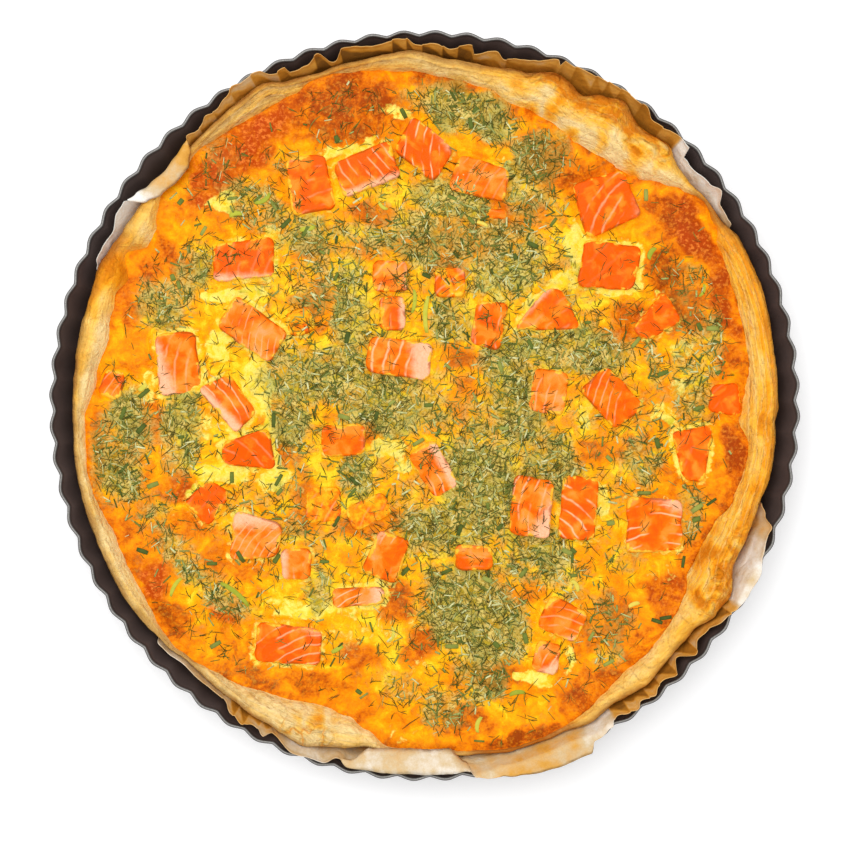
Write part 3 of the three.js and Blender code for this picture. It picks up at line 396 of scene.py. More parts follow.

# Looks of the chunks, in the same order: heading of the fat lines, their spacing, how white they
# are, how pink the meat is, how much custard film covers it, how pale the custard round it is,
# and the heading of the side with a painted highlight and how strong that highlight is.
CHUNK_LOOKS = np.array([
    [70, 5, 0.15, 0.1, 0.1, 0.7, -90, 0.9], [20, 5, 0.25, 0.15, 0.1, 0.4, 150, 0.3],
    [130, 3.6, 0.6, 0.2, 0, 0.6, -70, 0.9], [85, 3.4, 0.9, 0.1, 0, 0.5, 40, 0.6],
    [60, 4, 0.2, 0.5, 0.25, 0.3, 0, 0.4], [0, 4, 0.1, 0.4, 0.4, 0.2, 0, 0],
    [55, 4.5, 0.5, 0.05, 0, 0.4, 0, 0.5], [40, 6, 0.05, -0.3, 0.05, 0.8, 60, 0],
    [75, 2.6, 0.45, 0.5, 0, 0.9, -120, 0.5], [80, 4.4, 0.4, 0.4, 0, 0.8, 200, 1.3],
    [-55, 3.4, 0.7, 0.3, 0, 0.9, -135, 1.2], [-40, 4.5, 0.25, 0, 0, 0.9, -60, 0.2],
    [50, 5, 0.1, 0, 0.3, 0.7, 0, 0], [50, 2.8, 0.5, 0.5, 0, 0.8, 90, 1.1],
    [50, 3, 0.4, 0.2, 0.3, 0.1, -60, 0.4], [60, 4, 0.2, 0.3, 0.6, 0.5, 0, 0.3],
    [90, 4, 0.3, 0.2, 0, 0.4, 0, 1], [45, 4, 0.5, 0.5, 0.4, 0.3, 0, 0.7],
    [75, 4.6, 0.8, 0.4, 0, 0.4, 0, 1.3], [80, 4, 0.5, 0.25, 0.1, 0.5, 180, 0.5],
    [40, 5, 0.2, 0.3, 0, 0.8, 135, 0.8], [0, 4, 0.3, 0.35, 0.2, 0.5, 0, 0.4],
    [-60, 3.5, 0.7, 0.45, 0.2, 0.4, 30, 1.1], [70, 3.5, 0.4, 0.55, 0.2, 0.3, -90, 0.4],
    [80, 3.9, 0.7, 0.35, 0, 0.3, -30, 1.2], [-40, 4.2, 0.9, 0.2, 0, 0.7, 0, 0],
    [5, 3.6, 0.9, 0.3, 0, 0.5, 60, 0.9], [20, 5, 0.1, 0.1, 0.1, 0.6, 180, 0.4],
    [75, 3, 0.5, 0.28, 0, 0.5, 0, 0], [40, 4, 0.1, -0.25, 0.3, 0.2, 0, 0],
    [60, 5, 0.1, 0.1, 0.05, 0.8, 20, 0.3], [25, 3.4, 0.6, 0.15, 0, 0.7, 70, 0.6],
    [80, 3.4, 0.7, 0.5, 0.3, 0.6, 180, 1], [70, 3.6, 0.5, 0.36, 0, 0.7, 130, 0.7],
    [20, 3, 0.9, 0.6, 0.2, 1, 0, 1], [0, 4, 0.2, 0.38, 0.2, 0.2, 0, 0.2],
    [-10, 3.6, 0.4, 0.38, 0, 0.6, -90, 0.7], [60, 3.6, 0.7, 0.55, 0.1, 0.4, -60, 1.3],
    [60, 4, 0.4, 0.35, 0.6, 0.3, 0, 0.3], [60, 4, 0.3, 0.3, 0.6, 0.3, 0, 0],
    [40, 4, 0.4, 0.3, 0.5, 0.2, 45, 0.7],
])

# Larger pieces of chive and leek: x, y, length, turn.
CHIVE_PLACES = np.array([
    [-107.6, 4.8, 5, 40], [-115.6, -2.9, 5, 70], [-57.9, -5.5, 5.6, 90], [-115.2, -23.9, 5, 45],
    [-104.2, -30.4, 4.5, 20], [-56, -28.5, 5, 60], [-29.7, 26.2, 4.5, 80], [-27.8, -33.4, 4.5, 50],
    [-2.5, -13.9, 5, 30], [13.5, -47.6, 4.5, 70], [-33.9, -44.5, 4.5, 60], [110.2, 29.6, 4.5, 0],
    [81.1, 24.3, 5, 50], [91.4, 12.4, 4.5, 20], [84.2, -33.4, 5.3, 0], [104.4, -39.2, 5, 35],
    [109.8, -36.9, 4.5, 35], [99.1, -59.8, 4.5, 80], [92.2, -81.2, 4.5, 10], [70.4, -98.4, 4.5, 30],
    [63.9, -88.4, 4, 60], [-38.4, -59.8, 3.5, 0], [-7.5, -63.6, 4, 45], [8.5, -63.6, 4.5, 20],
    [10.4, -92.3, 5, 0], [-81.6, -60.6, 4, 0], [-56.8, -58.6, 4, 60], [-70.5, -57.9, 5, 120],
    [-80.1, -91.5, 4.5, 30], [-84.7, 67, 4, 60], [-64, 79.4, 4, 40], [-57.9, 76.8, 4.5, 120],
    [-73.6, 79.4, 4, 10], [-53.3, 70.1, 5, 45], [-45.7, 67, 4, 60], [84.9, 80.8, 4.5, 90],
])

# Pale leek and stalk pieces: x, y, length, turn.
LEEK_PLACES = np.array([
    [86.9, 58.6, 5, 60], [106.7, 44, 5, 70], [-72.4, 73.5, 5, 10], [-16.2, 76.6, 4.5, -40],
    [80.3, -76.2, 4.5, 20], [-12.4, -87.7, 6, 80], [-33.5, -93.4, 5, 30], [-72.5, -72, 14, -40],
    [-95.6, -69.2, 8, 60], [-45, 68, 6, 10], [0.5, 35, 14, 88], [-4, 40, 9, 85], [20.5, -122, 6, 75],
    [35.4, -110, 6, 10], [-62, 79, 7, 30], [-108, 7, 4, 40], [22, 70, 5, -20], [58, -69, 5, -60],
])


# Numbers and noise
def ease(share):
    return share * share * (3 - 2 * share)


def smoothstep(low, high, value):
    return ease(np.clip((value - low) / (high - low), 0, 1))


def station_values(stations, column, degrees, eased=True):
    """The values of a column of closed stations at some angles, eased or straight between two rows."""
    first = stations[0, 0]
    angle = (degrees - first) % 360 + first
    rows = np.vstack([stations, stations[:1] + np.eye(1, stations.shape[1]) * 360])
    after = np.clip(np.searchsorted(rows[:, 0], angle, side="right"), 1, len(rows) - 1)
    before = after - 1
    share = (angle - rows[before, 0]) / (rows[after, 0] - rows[before, 0])
    if eased:
        share = ease(share)
    return rows[before, column] * (1 - share) + rows[after, column] * share


def lattice_value(cell, seed):
    mixed = cell[..., 0] * 374761393 + cell[..., 1] * 668265263 + cell[..., 2] * 1440662683 + seed * 974711
    mixed &= 0xFFFFFFFF
    mixed = ((mixed ^ (mixed >> 13)) * 1274126177) & 0xFFFFFFFF
    mixed ^= mixed >> 16
    return mixed / 2**31 - 1


def noise(points, size, seed):
    """Smooth noise between -1 and 1, with features of a size along each axis."""
    place = points / np.asarray(size)
    cell = np.floor(place).astype(np.int64)
    share = ease(place - cell)
    total = 0
    for corner in np.ndindex(2, 2, 2):
        weight = np.prod(np.where(corner, share, 1 - share), axis=-1)
        total = total + weight * lattice_value(cell + np.array(corner), seed)
    return total


def layered_noise(points, size, seed, layers=4, gain=0.5):
    total = 0
    for layer in range(layers):
        total = total + gain**layer * noise(points, np.asarray(size) / 2**layer, seed + layer)
    return total / ((1 - gain**layers) / (1 - gain))


def flat_points(x, y):
    return np.stack([x, y, np.zeros_like(x)], axis=-1)


def drifted(x, y, seed):
    """Points moved a little by noise, so that places get uneven edges."""
    flat = flat_points(x, y)
    drift_x, drift_y = (CUSTARD_DRIFT * layered_noise(flat, 9, seed + axis) for axis in (0, 1))
    return x + drift_x, y + drift_y


def inside_place(place, x, y):
    """Grows from 0 at a place's middle to 1 on its rim and on outside it."""
    turn = np.radians(place[4])
    along = (x - place[0]) * np.cos(turn) + (y - place[1]) * np.sin(turn)
    across = (y - place[1]) * np.cos(turn) - (x - place[0]) * np.sin(turn)
    return (along / place[2]) ** 2 + (across / place[3]) ** 2


def strongest(places, x, y, full_to, gone_from, column=5):
    """The strongest of some places at each point, by the strengths in a column of their table."""
    cover = np.zeros_like(x)
    for place in places:
        share = 1 - smoothstep(full_to, gone_from, inside_place(place, x, y))
        cover = np.maximum(cover, place[column] * share)
    return cover


# Meshes
def add_object(name, data, place=(0, 0, 0)):
    made = bpy.data.objects.new(name, data)
    made.location = place
    bpy.context.scene.collection.objects.link(made)
    return made


def make_piece(name, points, faces, material, masks, replaced):
    """A mesh piece from points in millimetres and an array of triangles."""
    mesh = bpy.data.meshes.new(name)
    count = len(faces)
    mesh.vertices.add(len(points))
    mesh.vertices.foreach_set("co", (np.asarray(points, dtype=np.float32) * MM).ravel())
    mesh.loops.add(3 * count)
    mesh.loops.foreach_set("vertex_index", np.asarray(faces, dtype=np.int32).ravel())
    mesh.polygons.add(count)
    mesh.polygons.foreach_set("loop_start", np.arange(count, dtype=np.int32) * 3)
    mesh.polygons.foreach_set("use_smooth", np.ones(count, dtype=bool))
    mesh.update(calc_edges=True)
    for key, values in masks.items():
        values = np.asarray(values, dtype=np.float32)
        kind, field = ("FLOAT_VECTOR", "vector") if values.ndim == 2 else ("FLOAT", "value")
        mesh.attributes.new(key, kind, "POINT").data.foreach_set(field, values.ravel())
    mesh.materials.append(material)
    piece = add_object(name, mesh)
    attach(piece, BODY)
    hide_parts(*replaced)


def on_circle(radius, degrees):
    turn = np.radians(degrees)
    return radius * np.cos(turn), radius * np.sin(turn)


def ring_points(radius, degrees, z):
    return np.stack([*on_circle(radius, degrees), np.broadcast_to(z, degrees.shape)], axis=-1)


def ring_faces(rows, steps):
    """Triangles through rows of ring points, with a pole before the first and after the last."""
    at = np.arange(steps)
    after = (at + 1) % steps
    faces = []
    for low in range(0, (rows - 1) * steps, steps):
        high = low + steps
        faces.append(np.stack([low + at, low + after, high + at], axis=1))
        faces.append(np.stack([low + after, high + after, high + at], axis=1))
    top = (rows - 1) * steps
    first_pole = rows * steps
    faces.append(np.stack([np.full(steps, first_pole), after, at], axis=1))
    faces.append(np.stack([np.full(steps, first_pole + 1), top + at, top + after], axis=1))
    return np.concatenate(faces)


def make_round_piece(name, rows, ends, material, masks, slot):
    """A closed piece of rings round the middle, with the heights of the middles of its two ends."""
    points = np.concatenate([*rows, [[0, 0, ends[0]], [0, 0, ends[1]]]])
    masks = {key: np.concatenate([*values, np.zeros_like(values[0][:2])]) for key, values in masks.items()}
    make_piece(name, points, ring_faces(len(rows), len(rows[0])), material, masks, [slot])


# Material nodes
class Value:
    """The output of a material node, from which sums, remaps and ramps make further nodes."""

    def __init__(self, socket):
        self.socket = socket

    def node(self, kind, inputs, output=0, **settings):
        return add_node(self.socket.id_data, kind, inputs, output, **settings)

    def maths(self, operation, other=0.0):
        return self.node("ShaderNodeMath", {0: self, 1: other}, operation=operation)

    def __add__(self, other):
        return self.maths("ADD", other)

    def __sub__(self, other):
        return self.maths("SUBTRACT", other)

    def __mul__(self, other):
        return self.maths("MULTIPLY", other)

    def __abs__(self):
        return self.maths("ABSOLUTE")

    def fraction(self):
        return self.maths("FRACT")

    def clamped(self):
        self.socket.node.use_clamp = True
        return self

    def spread(self, width):
        """Turns a noise round 0.5 into one round 0 with a width."""
        return (self - 0.5) * width

    def remap(self, low, high, to_low=0.0, to_high=1.0):
        inputs = {"Value": self, "From Min": low, "From Max": high, "To Min": to_low, "To Max": to_high}
        return self.node("ShaderNodeMapRange", inputs, "Result", interpolation_type="SMOOTHSTEP")

    def ramp(self, *stops):
        made = self.node("ShaderNodeValToRGB", {"Fac": self}, "Color")
        elements = made.socket.node.color_ramp.elements
        for place, _ in stops[2:]:
            elements.new(place)
        for element, (place, colour) in zip(elements, stops):
            element.position = place
            element.color = (*colour, 1)
        return made

    def bump(self, depth_mm, strength=1.0, normal=None):
        inputs = {"Height": self, "Distance": depth_mm * MM, "Strength": strength}
        if normal is not None:
            inputs["Normal"] = normal
        return self.node("ShaderNodeBump", inputs, "Normal")


def add_node(tree, kind, inputs, output=0, **settings):
    made = tree.nodes.new(kind)
    for key, value in settings.items():
        setattr(made, key, value)
    for key, value in inputs.items():
        if isinstance(value, Value):
            tree.links.new(value.socket, made.inputs[key])
        else:
            made.inputs[key].default_value = value
    return Value(made.outputs[output])


def mix(factor, first, second, blend="MIX"):
    """Goes from the first colour to the second as the factor goes from 0 to 1."""
    first, second = ((*colour, 1) if isinstance(colour, tuple) else colour for colour in (first, second))
    inputs = {0: factor, 6: first, 7: second}
    return factor.node("ShaderNodeMix", inputs, 2, data_type="RGBA", blend_type=blend, clamp_result=True)


class Surface:
    """A material, and the masks and noises that its colours and bumps are made from."""

    def __init__(self, name, **settings):
        self.material = bpy.data.materials.new(name)
        self.material.use_nodes = True
        self.tree = self.material.node_tree
        self.shader = self.tree.nodes["Principled BSDF"]
        for key, value in settings.items():
            self.shader.inputs[key.replace("_", " ")].default_value = value

    @functools.cached_property
    def place(self):
        return add_node(self.tree, "ShaderNodeTexCoord", {}, "Object")

    def mask(self, key, output="Fac"):
        return add_node(self.tree, "ShaderNodeAttribute", {}, output, attribute_name=key)

    def noise(self, size_mm, detail=4.0, roughness=0.5, distortion=0.0, place=None, output="Fac"):
        return add_node(self.tree, "ShaderNodeTexNoise", {
            "Vector": place or self.place, "Scale": 1 / (size_mm * MM), "Detail": detail,
            "Roughness": roughness, "Distortion": distortion,
        }, output)

    def cells(self, size_mm, drift_mm):
        """The distance from the edges of uneven cells, 0 on an edge, with the edges bent by noise."""
        drift = self.noise(size_mm, 3.0, output="Color")
        offset = drift.node("ShaderNodeVectorMath", {0: drift, 1: (0.5, 0.5, 0.5)}, operation="SUBTRACT")
        moved = drift.node(
            "ShaderNodeVectorMath", {0: offset, "Scale": 2 * drift_mm * MM}, operation="SCALE"
        )
        bent = drift.node("ShaderNodeVectorMath", {0: self.place, 1: moved}, operation="ADD")
        inputs = {"Vector": bent, "Scale": 1 / (size_mm * MM)}
        return drift.node("ShaderNodeTexVoronoi", inputs, "Distance", feature="DISTANCE_TO_EDGE")

    def finish(self, **inputs):
        for key, value in inputs.items():
            self.tree.links.new(value.socket, self.shader.inputs[key.replace("_", " ")])
        return self.material


def tin_material():
    surface = Surface("tin coat", Metallic=0.2, Specular_IOR_Level=0.4)
    smudge = surface.noise(9, 5, 0.6)
    grain = surface.noise(0.5, 2)
    rim = surface.mask("rim")
    dark = mix(smudge, (0.07, 0.048, 0.044), (0.115, 0.082, 0.074))
    edge = mix(grain, (0.05, 0.042, 0.04), (0.075, 0.066, 0.062))
    # A painted highlight along the top of the rim's bead, lighter grey with some grain
    rim_highlight = mix(grain.remap(0.3, 0.7), (0.17, 0.165, 0.155), (0.3, 0.29, 0.27))
    colour = mix(rim.remap(0.05, 0.3), dark, edge)
    colour = mix(rim.remap(0.8, 0.99), colour, rim_highlight)
    roughness = smudge.remap(0.2, 0.8, 0.3, 0.48)
    return surface.finish(Base_Color=colour, Roughness=roughness, Normal=grain.bump(0.02))


def paper_material():
    surface = Surface("baking paper", Roughness=0.62, Specular_IOR_Level=0.15)
    cloud = surface.noise(9, 5, 0.6)
    fibre = surface.noise(0.6, 3, 0.6)
    # The tone mask: real browning, with the wall darker as painted shade in the gap by the pastry and the
    # pleats' lit faces lighter as painted light
    level = surface.mask("baked_and_shaded") + cloud.spread(0.7)
    colour = level.ramp(
        (0.0, (0.92, 0.9, 0.85)), (0.22, (0.69, 0.52, 0.3)), (0.42, (0.72, 0.36, 0.06)),
        (0.65, (0.53, 0.215, 0.018)), (0.95, (0.2, 0.082, 0.011)),
    )
    # A painted highlight along the paper's top edge, where the lip mask is set
    edge = mix(level.remap(0.0, 0.35), (0.86, 0.83, 0.76), (0.84, 0.5, 0.18))
    colour = mix(surface.mask("lip") * 0.75, colour, edge)
    mottled = mix(fibre.remap(0.35, 0.65, 0, 0.3), colour, (0.8, 0.7, 0.56), "MULTIPLY")
    crumple = abs(surface.noise(14, 3, 0.5, 0.6).spread(1))
    crease = crumple.bump(2.5, 0.8, cloud.bump(0.8, 0.7))
    return surface.finish(Base_Color=mottled, Normal=fibre.bump(0.05, 0.6, crease))


def crust_material():
    surface = Surface(
        "puff pastry", Roughness=0.5, Specular_IOR_Level=0.06, Subsurface_Weight=0.06,
        Subsurface_Scale=0.5, Subsurface_Radius=(0.003, 0.0018, 0.001),
    )
    golden, brown_and_shade, flaky, shade, puffed = map(surface.mask, ("golden", "brown_and_shade", "flaky", "shade", "puffed"))
    lay = surface.mask("lay", "Vector")
    fine = surface.noise(1.3, 5, 0.6)
    cloud = surface.noise(7, 5, 0.6)
    streak = surface.noise(1.5, 5, 0.62, place=lay)
    tear = surface.noise(5, 3)

    # Thin lines, open seams, split cells and folds
    line = abs(surface.noise(2.6, 3, 0.6, 0.8, lay).spread(1)).remap(0.035, 0.0)
    seam = abs(surface.noise(4.2, 2, 0.5, 0.5, lay).spread(1)).remap(0.025, 0.0)
    marks = line * 0.45 + seam * 0.5
    cells = surface.cells(4.4, 3.4)
    split = cells.remap(0.06, 0.0) * tear.remap(0.46, 0.62) * flaky.remap(0.5, 1, 0.45, 0.2)
    folds = surface.cells(8.5, 6.5)
    fold_line = folds.remap(0.07, 0.0) * puffed

    # Layers of the pastry, with painted shade in the gaps between them
    phase = surface.mask("strata") + surface.noise(4, 4, 0.6, place=lay).spread(1.8)
    layer = phase.fraction()
    layered = flaky.remap(0.2, 1.0, 0.05, 0.8)
    gap = layer.remap(0.86, 0.97) * tear.remap(0.44, 0.6)
    thin_gap = (phase * 2.7).fraction().remap(0.8, 0.96) * 0.3
    gaps = ((gap + thin_gap * flaky) * layered).clamped()

    level = golden + cloud.spread(0.7) + streak.spread(0.22)
    level = level + puffed * folds.remap(0.0, 0.4, 0.2, -0.35)
    colour = level.ramp(
        (0.0, (0.96, 0.73, 0.33)), (0.25, (1, 0.63, 0.15)), (0.5, (1, 0.52, 0.05)),
        (0.75, (0.97, 0.37, 0.01)), (1.0, (0.68, 0.2, 0.004)),
    )
    dark = mix(golden, (0.7, 0.45, 0.16), (0.84, 0.32, 0.03))
    colour = mix((marks * flaky.remap(0.3, 1, 0.25, 1)).clamped(), colour, dark)
    # Painted shade: a duller tan where the shade mask is high
    shade_share = shade * (cloud.spread(1.6) + 0.8)
    shade_tan = mix(fine.remap(0.3, 0.7), (0.5, 0.29, 0.085), (0.62, 0.39, 0.14))
    colour = mix(shade_share.remap(0.0, 1.0), colour, shade_tan)
    # A painted highlight on the edge of each layer, just past its gap
    light = mix(golden, (0.93, 0.76, 0.46), (1, 0.58, 0.1))
    colour = mix(layer.remap(0.2, 0.02) * (layered * 0.55), colour, light)
    # Painted shade in the gaps between layers, darker where the shade mask is high
    gap_shade = mix(golden, (0.6, 0.38, 0.12), (0.84, 0.33, 0.02))
    gap_shade = mix(shade.remap(0.05, 0.6), gap_shade, (0.33, 0.18, 0.05))
    colour = mix(gaps, colour, gap_shade)
    colour = mix(split, colour, mix(golden, (0.66, 0.36, 0.09), (0.78, 0.24, 0.012)))
    colour = mix(fold_line * 0.7, colour, (0.7, 0.2, 0.006))
    # The outermost edge darker, partly real browning and partly painted shade; the pinches and creases darker
    # as painted shade
    baked_and_shaded = mix(brown_and_shade, colour, mix(golden, (0.44, 0.25, 0.07), (0.42, 0.13, 0.012)))
    speckled = mix(fine.remap(0.35, 0.7, 0.16, 0), baked_and_shaded, (0.75, 0.5, 0.25), "MULTIPLY")

    height = streak * 0.3 + marks * -0.25 + cells.remap(0.0, 0.3, -0.22, 0.18)
    height = height + puffed * folds.remap(0.0, 0.3, -0.9, 0.6) + gaps * -0.4
    return surface.finish(Base_Color=speckled, Normal=fine.bump(0.16, 0.6, height.bump(0.8, 0.9)))


def custard_material():
    surface = Surface(
        "custard", Specular_IOR_Level=0.03, Subsurface_Weight=0.05, Subsurface_Scale=0.5,
        Subsurface_Radius=(0.003, 0.0018, 0.0008), Coat_Weight=0.03, Coat_Roughness=0.3,
    )
    brown_and_shade, pale, red, herb = map(surface.mask, ("brown_and_shade", "pale", "red", "herb"))
    cloud = surface.noise(7, 5, 0.58, 0.8)
    patch = surface.noise(2.8, 5, 0.6, 0.6)
    fine = surface.noise(0.9, 4, 0.6)

    # Yellow to brown
    grainy = brown_and_shade.remap(0.35, 0.8)
    level = brown_and_shade + cloud.spread(1.5) + patch.spread(1) * grainy.remap(0, 1, 0.7, 0.95)
    level = level + fine.spread(1) * grainy.remap(0, 1, 0.2, 0.45)
    colour = level.ramp(
        (0.0, (0.97, 0.66, 0.022)), (0.16, (0.96, 0.475, 0.003)), (0.36, (0.95, 0.34, 0.001)),
        (0.56, (0.88, 0.24, 0.001)), (0.8, (0.62, 0.12, 0.001)), (1.0, (0.32, 0.05, 0.001)),
    )

    # Painted sheen: lighter orange spots where it is browned; more reddish in some places, with pinkish
    # painted highlights among the red
    sheen_spots = (surface.noise(1.3, 3, 0.6) + patch.spread(0.5)).remap(0.46, 0.7)
    colour = mix(sheen_spots * brown_and_shade.remap(0.3, 0.8, 0.1, 0.4), colour, (0.95, 0.34, 0.012))
    rosy = (red * cloud.remap(0.35, 0.65, 0.45, 1)).clamped()
    colour = mix(rosy, colour, mix(sheen_spots, (0.5, 0.055, 0.001), (0.9, 0.21, 0.03)))

    # Pale pools
    lemon = mix(patch.remap(0.3, 0.7), (1, 0.62, 0.015), (1, 0.84, 0.17))
    lime = mix(cloud.remap(0.56, 0.68), lemon, (0.74, 0.6, 0.03))
    pale_level = pale + patch.spread(1.3) + cloud.spread(1.0)
    colour = mix(pale_level.remap(0.45, 0.8), colour, lime)

    # Small bits of herb among the pieces that lie on top
    leafy = mix(patch.remap(0.35, 0.65), (0.29, 0.225, 0.012), (0.7, 0.58, 0.17))
    green = mix(patch, (0.14, 0.17, 0.03), (0.5, 0.52, 0.14))
    leafy = mix(surface.noise(11, 3).remap(0.48, 0.62, 0, 0.7), leafy, green)
    leafy = mix(fine.remap(0.5, 0.62), leafy, (0.15, 0.15, 0.025))
    burnt = mix(patch.remap(0.35, 0.65), (0.24, 0.12, 0.01), (0.55, 0.27, 0.03))
    leafy = mix(brown_and_shade.remap(0.45, 0.85, 0, 0.8), leafy, burnt)
    herb_level = herb + patch.spread(1.2) + cloud.spread(0.6) + fine.spread(0.5)
    colour = mix(herb_level.remap(0.1, 1.0, 0, 0.85), colour, leafy)

    normal = fine.bump(0.25, 0.7, patch.bump(0.8, 0.8, cloud.bump(1.2, 0.7)))
    return surface.finish(Base_Color=colour, Roughness=fine.remap(0.2, 0.8, 0.28, 0.5), Normal=normal)


def salmon_material():
    surface = Surface(
        "salmon", Roughness=0.3, Specular_IOR_Level=0.05, Subsurface_Weight=0.05, Subsurface_Scale=0.5,
        Subsurface_Radius=(0.003, 0.0012, 0.0006),
    )
    tone, white, film, edge, side = map(surface.mask, ("tone", "white", "film", "edge", "side"))
    cloud = surface.noise(6, 3, 0.5, 0.5)
    patch = surface.noise(2.4, 4, 0.6)
    fine = surface.noise(0.8, 4, 0.6)

    # Meat, its fat lines, and a painted highlight on one side
    grain = add_node(surface.tree, "ShaderNodeSeparateXYZ", {"Vector": surface.mask("grain", "Vector")})
    wave = abs((grain + surface.noise(7, 2) * 0.7).fraction() - 0.5)
    line = wave.remap(0.15, 0.01)
    fat = (line * (white * 0.9) * surface.noise(10, 2).remap(0.42, 0.56)).clamped()
    meat = (tone + cloud.spread(2.3)).ramp(
        (0.0, (0.93, 0.105, 0.0004)), (0.35, (0.97, 0.17, 0.001)), (0.65, (0.98, 0.27, 0.028)),
        (1.0, (0.98, 0.41, 0.21)),
    )
    meat = mix(cloud.remap(0.48, 0.66, 0, 0.5), meat, (0.98, 0.28, 0.02))
    colour = mix(fat, meat, (0.98, 0.56, 0.32))
    side_highlight = (side * 1.3 + patch.spread(0.9)).remap(0.3, 1.15, 0, 0.85) * side.remap(0.02, 0.2)
    colour = mix(side_highlight, colour, mix(fine, (0.97, 0.38, 0.17), (0.97, 0.68, 0.46)))

    # Custard over it and round its edge, and painted shade in the crease where it meets the custard
    custard = mix(patch.remap(0.35, 0.65), (0.8, 0.24, 0.002), (0.94, 0.45, 0.008))
    cover = film + cloud.spread(0.9) + patch.spread(0.5)
    colour = mix(cover.remap(0.4, 0.7), colour, custard)
    pool = mix(patch.remap(0.35, 0.65), (0.92, 0.4, 0.006), (0.95, 0.58, 0.05))
    creep = edge + cloud.spread(3.0) + patch.spread(0.9)
    colour = mix(creep.remap(1.0, 1.2, 0, 0.9), colour, pool)
    # Painted shade in the crease where the chunk meets the custard
    crease = edge + cloud.spread(-1.8) + patch.spread(0.5)
    colour = mix(crease.remap(0.92, 1.2, 0, 0.65), colour, (0.42, 0.09, 0.004))
    normal = fine.bump(0.12, 0.5, cloud.bump(0.9, 0.5, line.bump(0.2, 0.3)))
    return surface.finish(Base_Color=colour, Normal=normal)


def herb_material(name, spot_size, *stops):
    surface = Surface(name, Roughness=0.5, Specular_IOR_Level=0.05)
    spot = surface.noise(spot_size, 3)
    level = surface.mask("tint") + spot.spread(0.5)
    return surface.finish(Base_Color=level.ramp(*stops), Normal=spot.bump(0.08, 0.5))


# Tin
def build_tin():
    degrees = np.arange(FLUTES * STEPS_PER_FLUTE) * 360 / (FLUTES * STEPS_PER_FLUTE)
    turn = np.radians((degrees - FLUTE_TURN) * FLUTES)
    wave = 0.5 * np.cos(turn) + 0.5 * (2 * np.abs(np.cos(turn / 2)) - 1)
    slope = (TIN_RIM_RADIUS - TIN_BASE_RADIUS) / TIN_HEIGHT

    def wall(z):
        return TIN_BASE_RADIUS + slope * z

    # The profile: radius, height, and how much of the rim's bead it is, most at the bead's top, which carries
    # a painted highlight
    bead_z = TIN_HEIGHT - BEAD_RADIUS
    bead_middle = wall(bead_z) - TIN_WALL / 2 + 0.1
    bead = [
        (bead_middle + BEAD_RADIUS * math.cos(angle), bead_z + BEAD_RADIUS * math.sin(angle), math.sin(angle))
        for angle in np.linspace(-0.35 * math.pi, 1.2 * math.pi, BEAD_POINTS)
    ]
    foot_z, foot_inset = TIN_INSIDE_FOOT
    profile = [
        (TIN_BASE_RADIUS - TIN_FOOT_INSET, 0, 0), (TIN_BASE_RADIUS, TIN_FOOT_HEIGHT, 0),
        *((wall(z), z, 0) for z in TIN_OUTSIDE_HEIGHTS), *bead,
        *((wall(z) - TIN_WALL, z, 0) for z in TIN_INSIDE_HEIGHTS),
        (wall(foot_z) - TIN_WALL - foot_inset, TIN_WALL, 0),
    ]
    rows = [ring_points(radius + FLUTE_DEPTH * wave, degrees, z) for radius, z, _ in profile]
    rims = [np.full(len(degrees), max(0.0, rim)) for _, _, rim in profile]
    make_round_piece("fluted_tin", rows, (0, TIN_WALL), tin_material(), {"rim": rims}, "tin")


# Custard level
def custard_level(x, y):
    lifted = smoothstep(CUSTARD_LIFT_FROM, CUSTARD_LIFT_TO, np.hypot(x, y))
    height = CUSTARD_LEVEL + CUSTARD_EDGE_LIFT * lifted
    for place in RAISED_PLACES:
        height = height + place[5] * np.exp(-inside_place(place, x, y))
    for wave, heading, phase, rise in CUSTARD_WAVES:
        along = x * math.cos(math.radians(heading)) + y * math.sin(math.radians(heading))
        height = height + rise * np.sin(TAU * along / wave + phase)
    return height


# Pastry case
def crust_outer(degrees):
    return station_values(CRUST_STATIONS, 1, degrees)


def crust_inner(degrees):
    return np.minimum(station_values(CRUST_STATIONS, 2, degrees), crust_outer(degrees) - CRUST_THIN_WALL)


def crust_fullness(degrees):
    return np.minimum(1, (crust_outer(degrees) - crust_inner(degrees)) / CRUST_FULL_WIDTH)


def crust_crest(degrees):
    width = crust_outer(degrees) - crust_inner(degrees)
    puff = np.maximum(0, width - CRUST_FULL_WIDTH) * CREST_PUFF
    low_crest = CUSTARD_LEVEL + CUSTARD_EDGE_LIFT + CREST_OVER_CUSTARD
    return low_crest + CREST_RISE * crust_fullness(degrees) + puff


def crust_shoulder(degrees):
    return crust_crest(degrees) - SHOULDER_DROP - SHOULDER_ROUNDING * crust_fullness(degrees)


def crust_waist(degrees):
    return (CRUST_BASE_RADIUS + crust_outer(degrees)) / 2


def crust_side(degrees, z):
    share = (z - CRUST_WAIST_HEIGHT) / (crust_shoulder(degrees) - CRUST_WAIST_HEIGHT)
    return crust_waist(degrees) + (crust_outer(degrees) - crust_waist(degrees)) * share


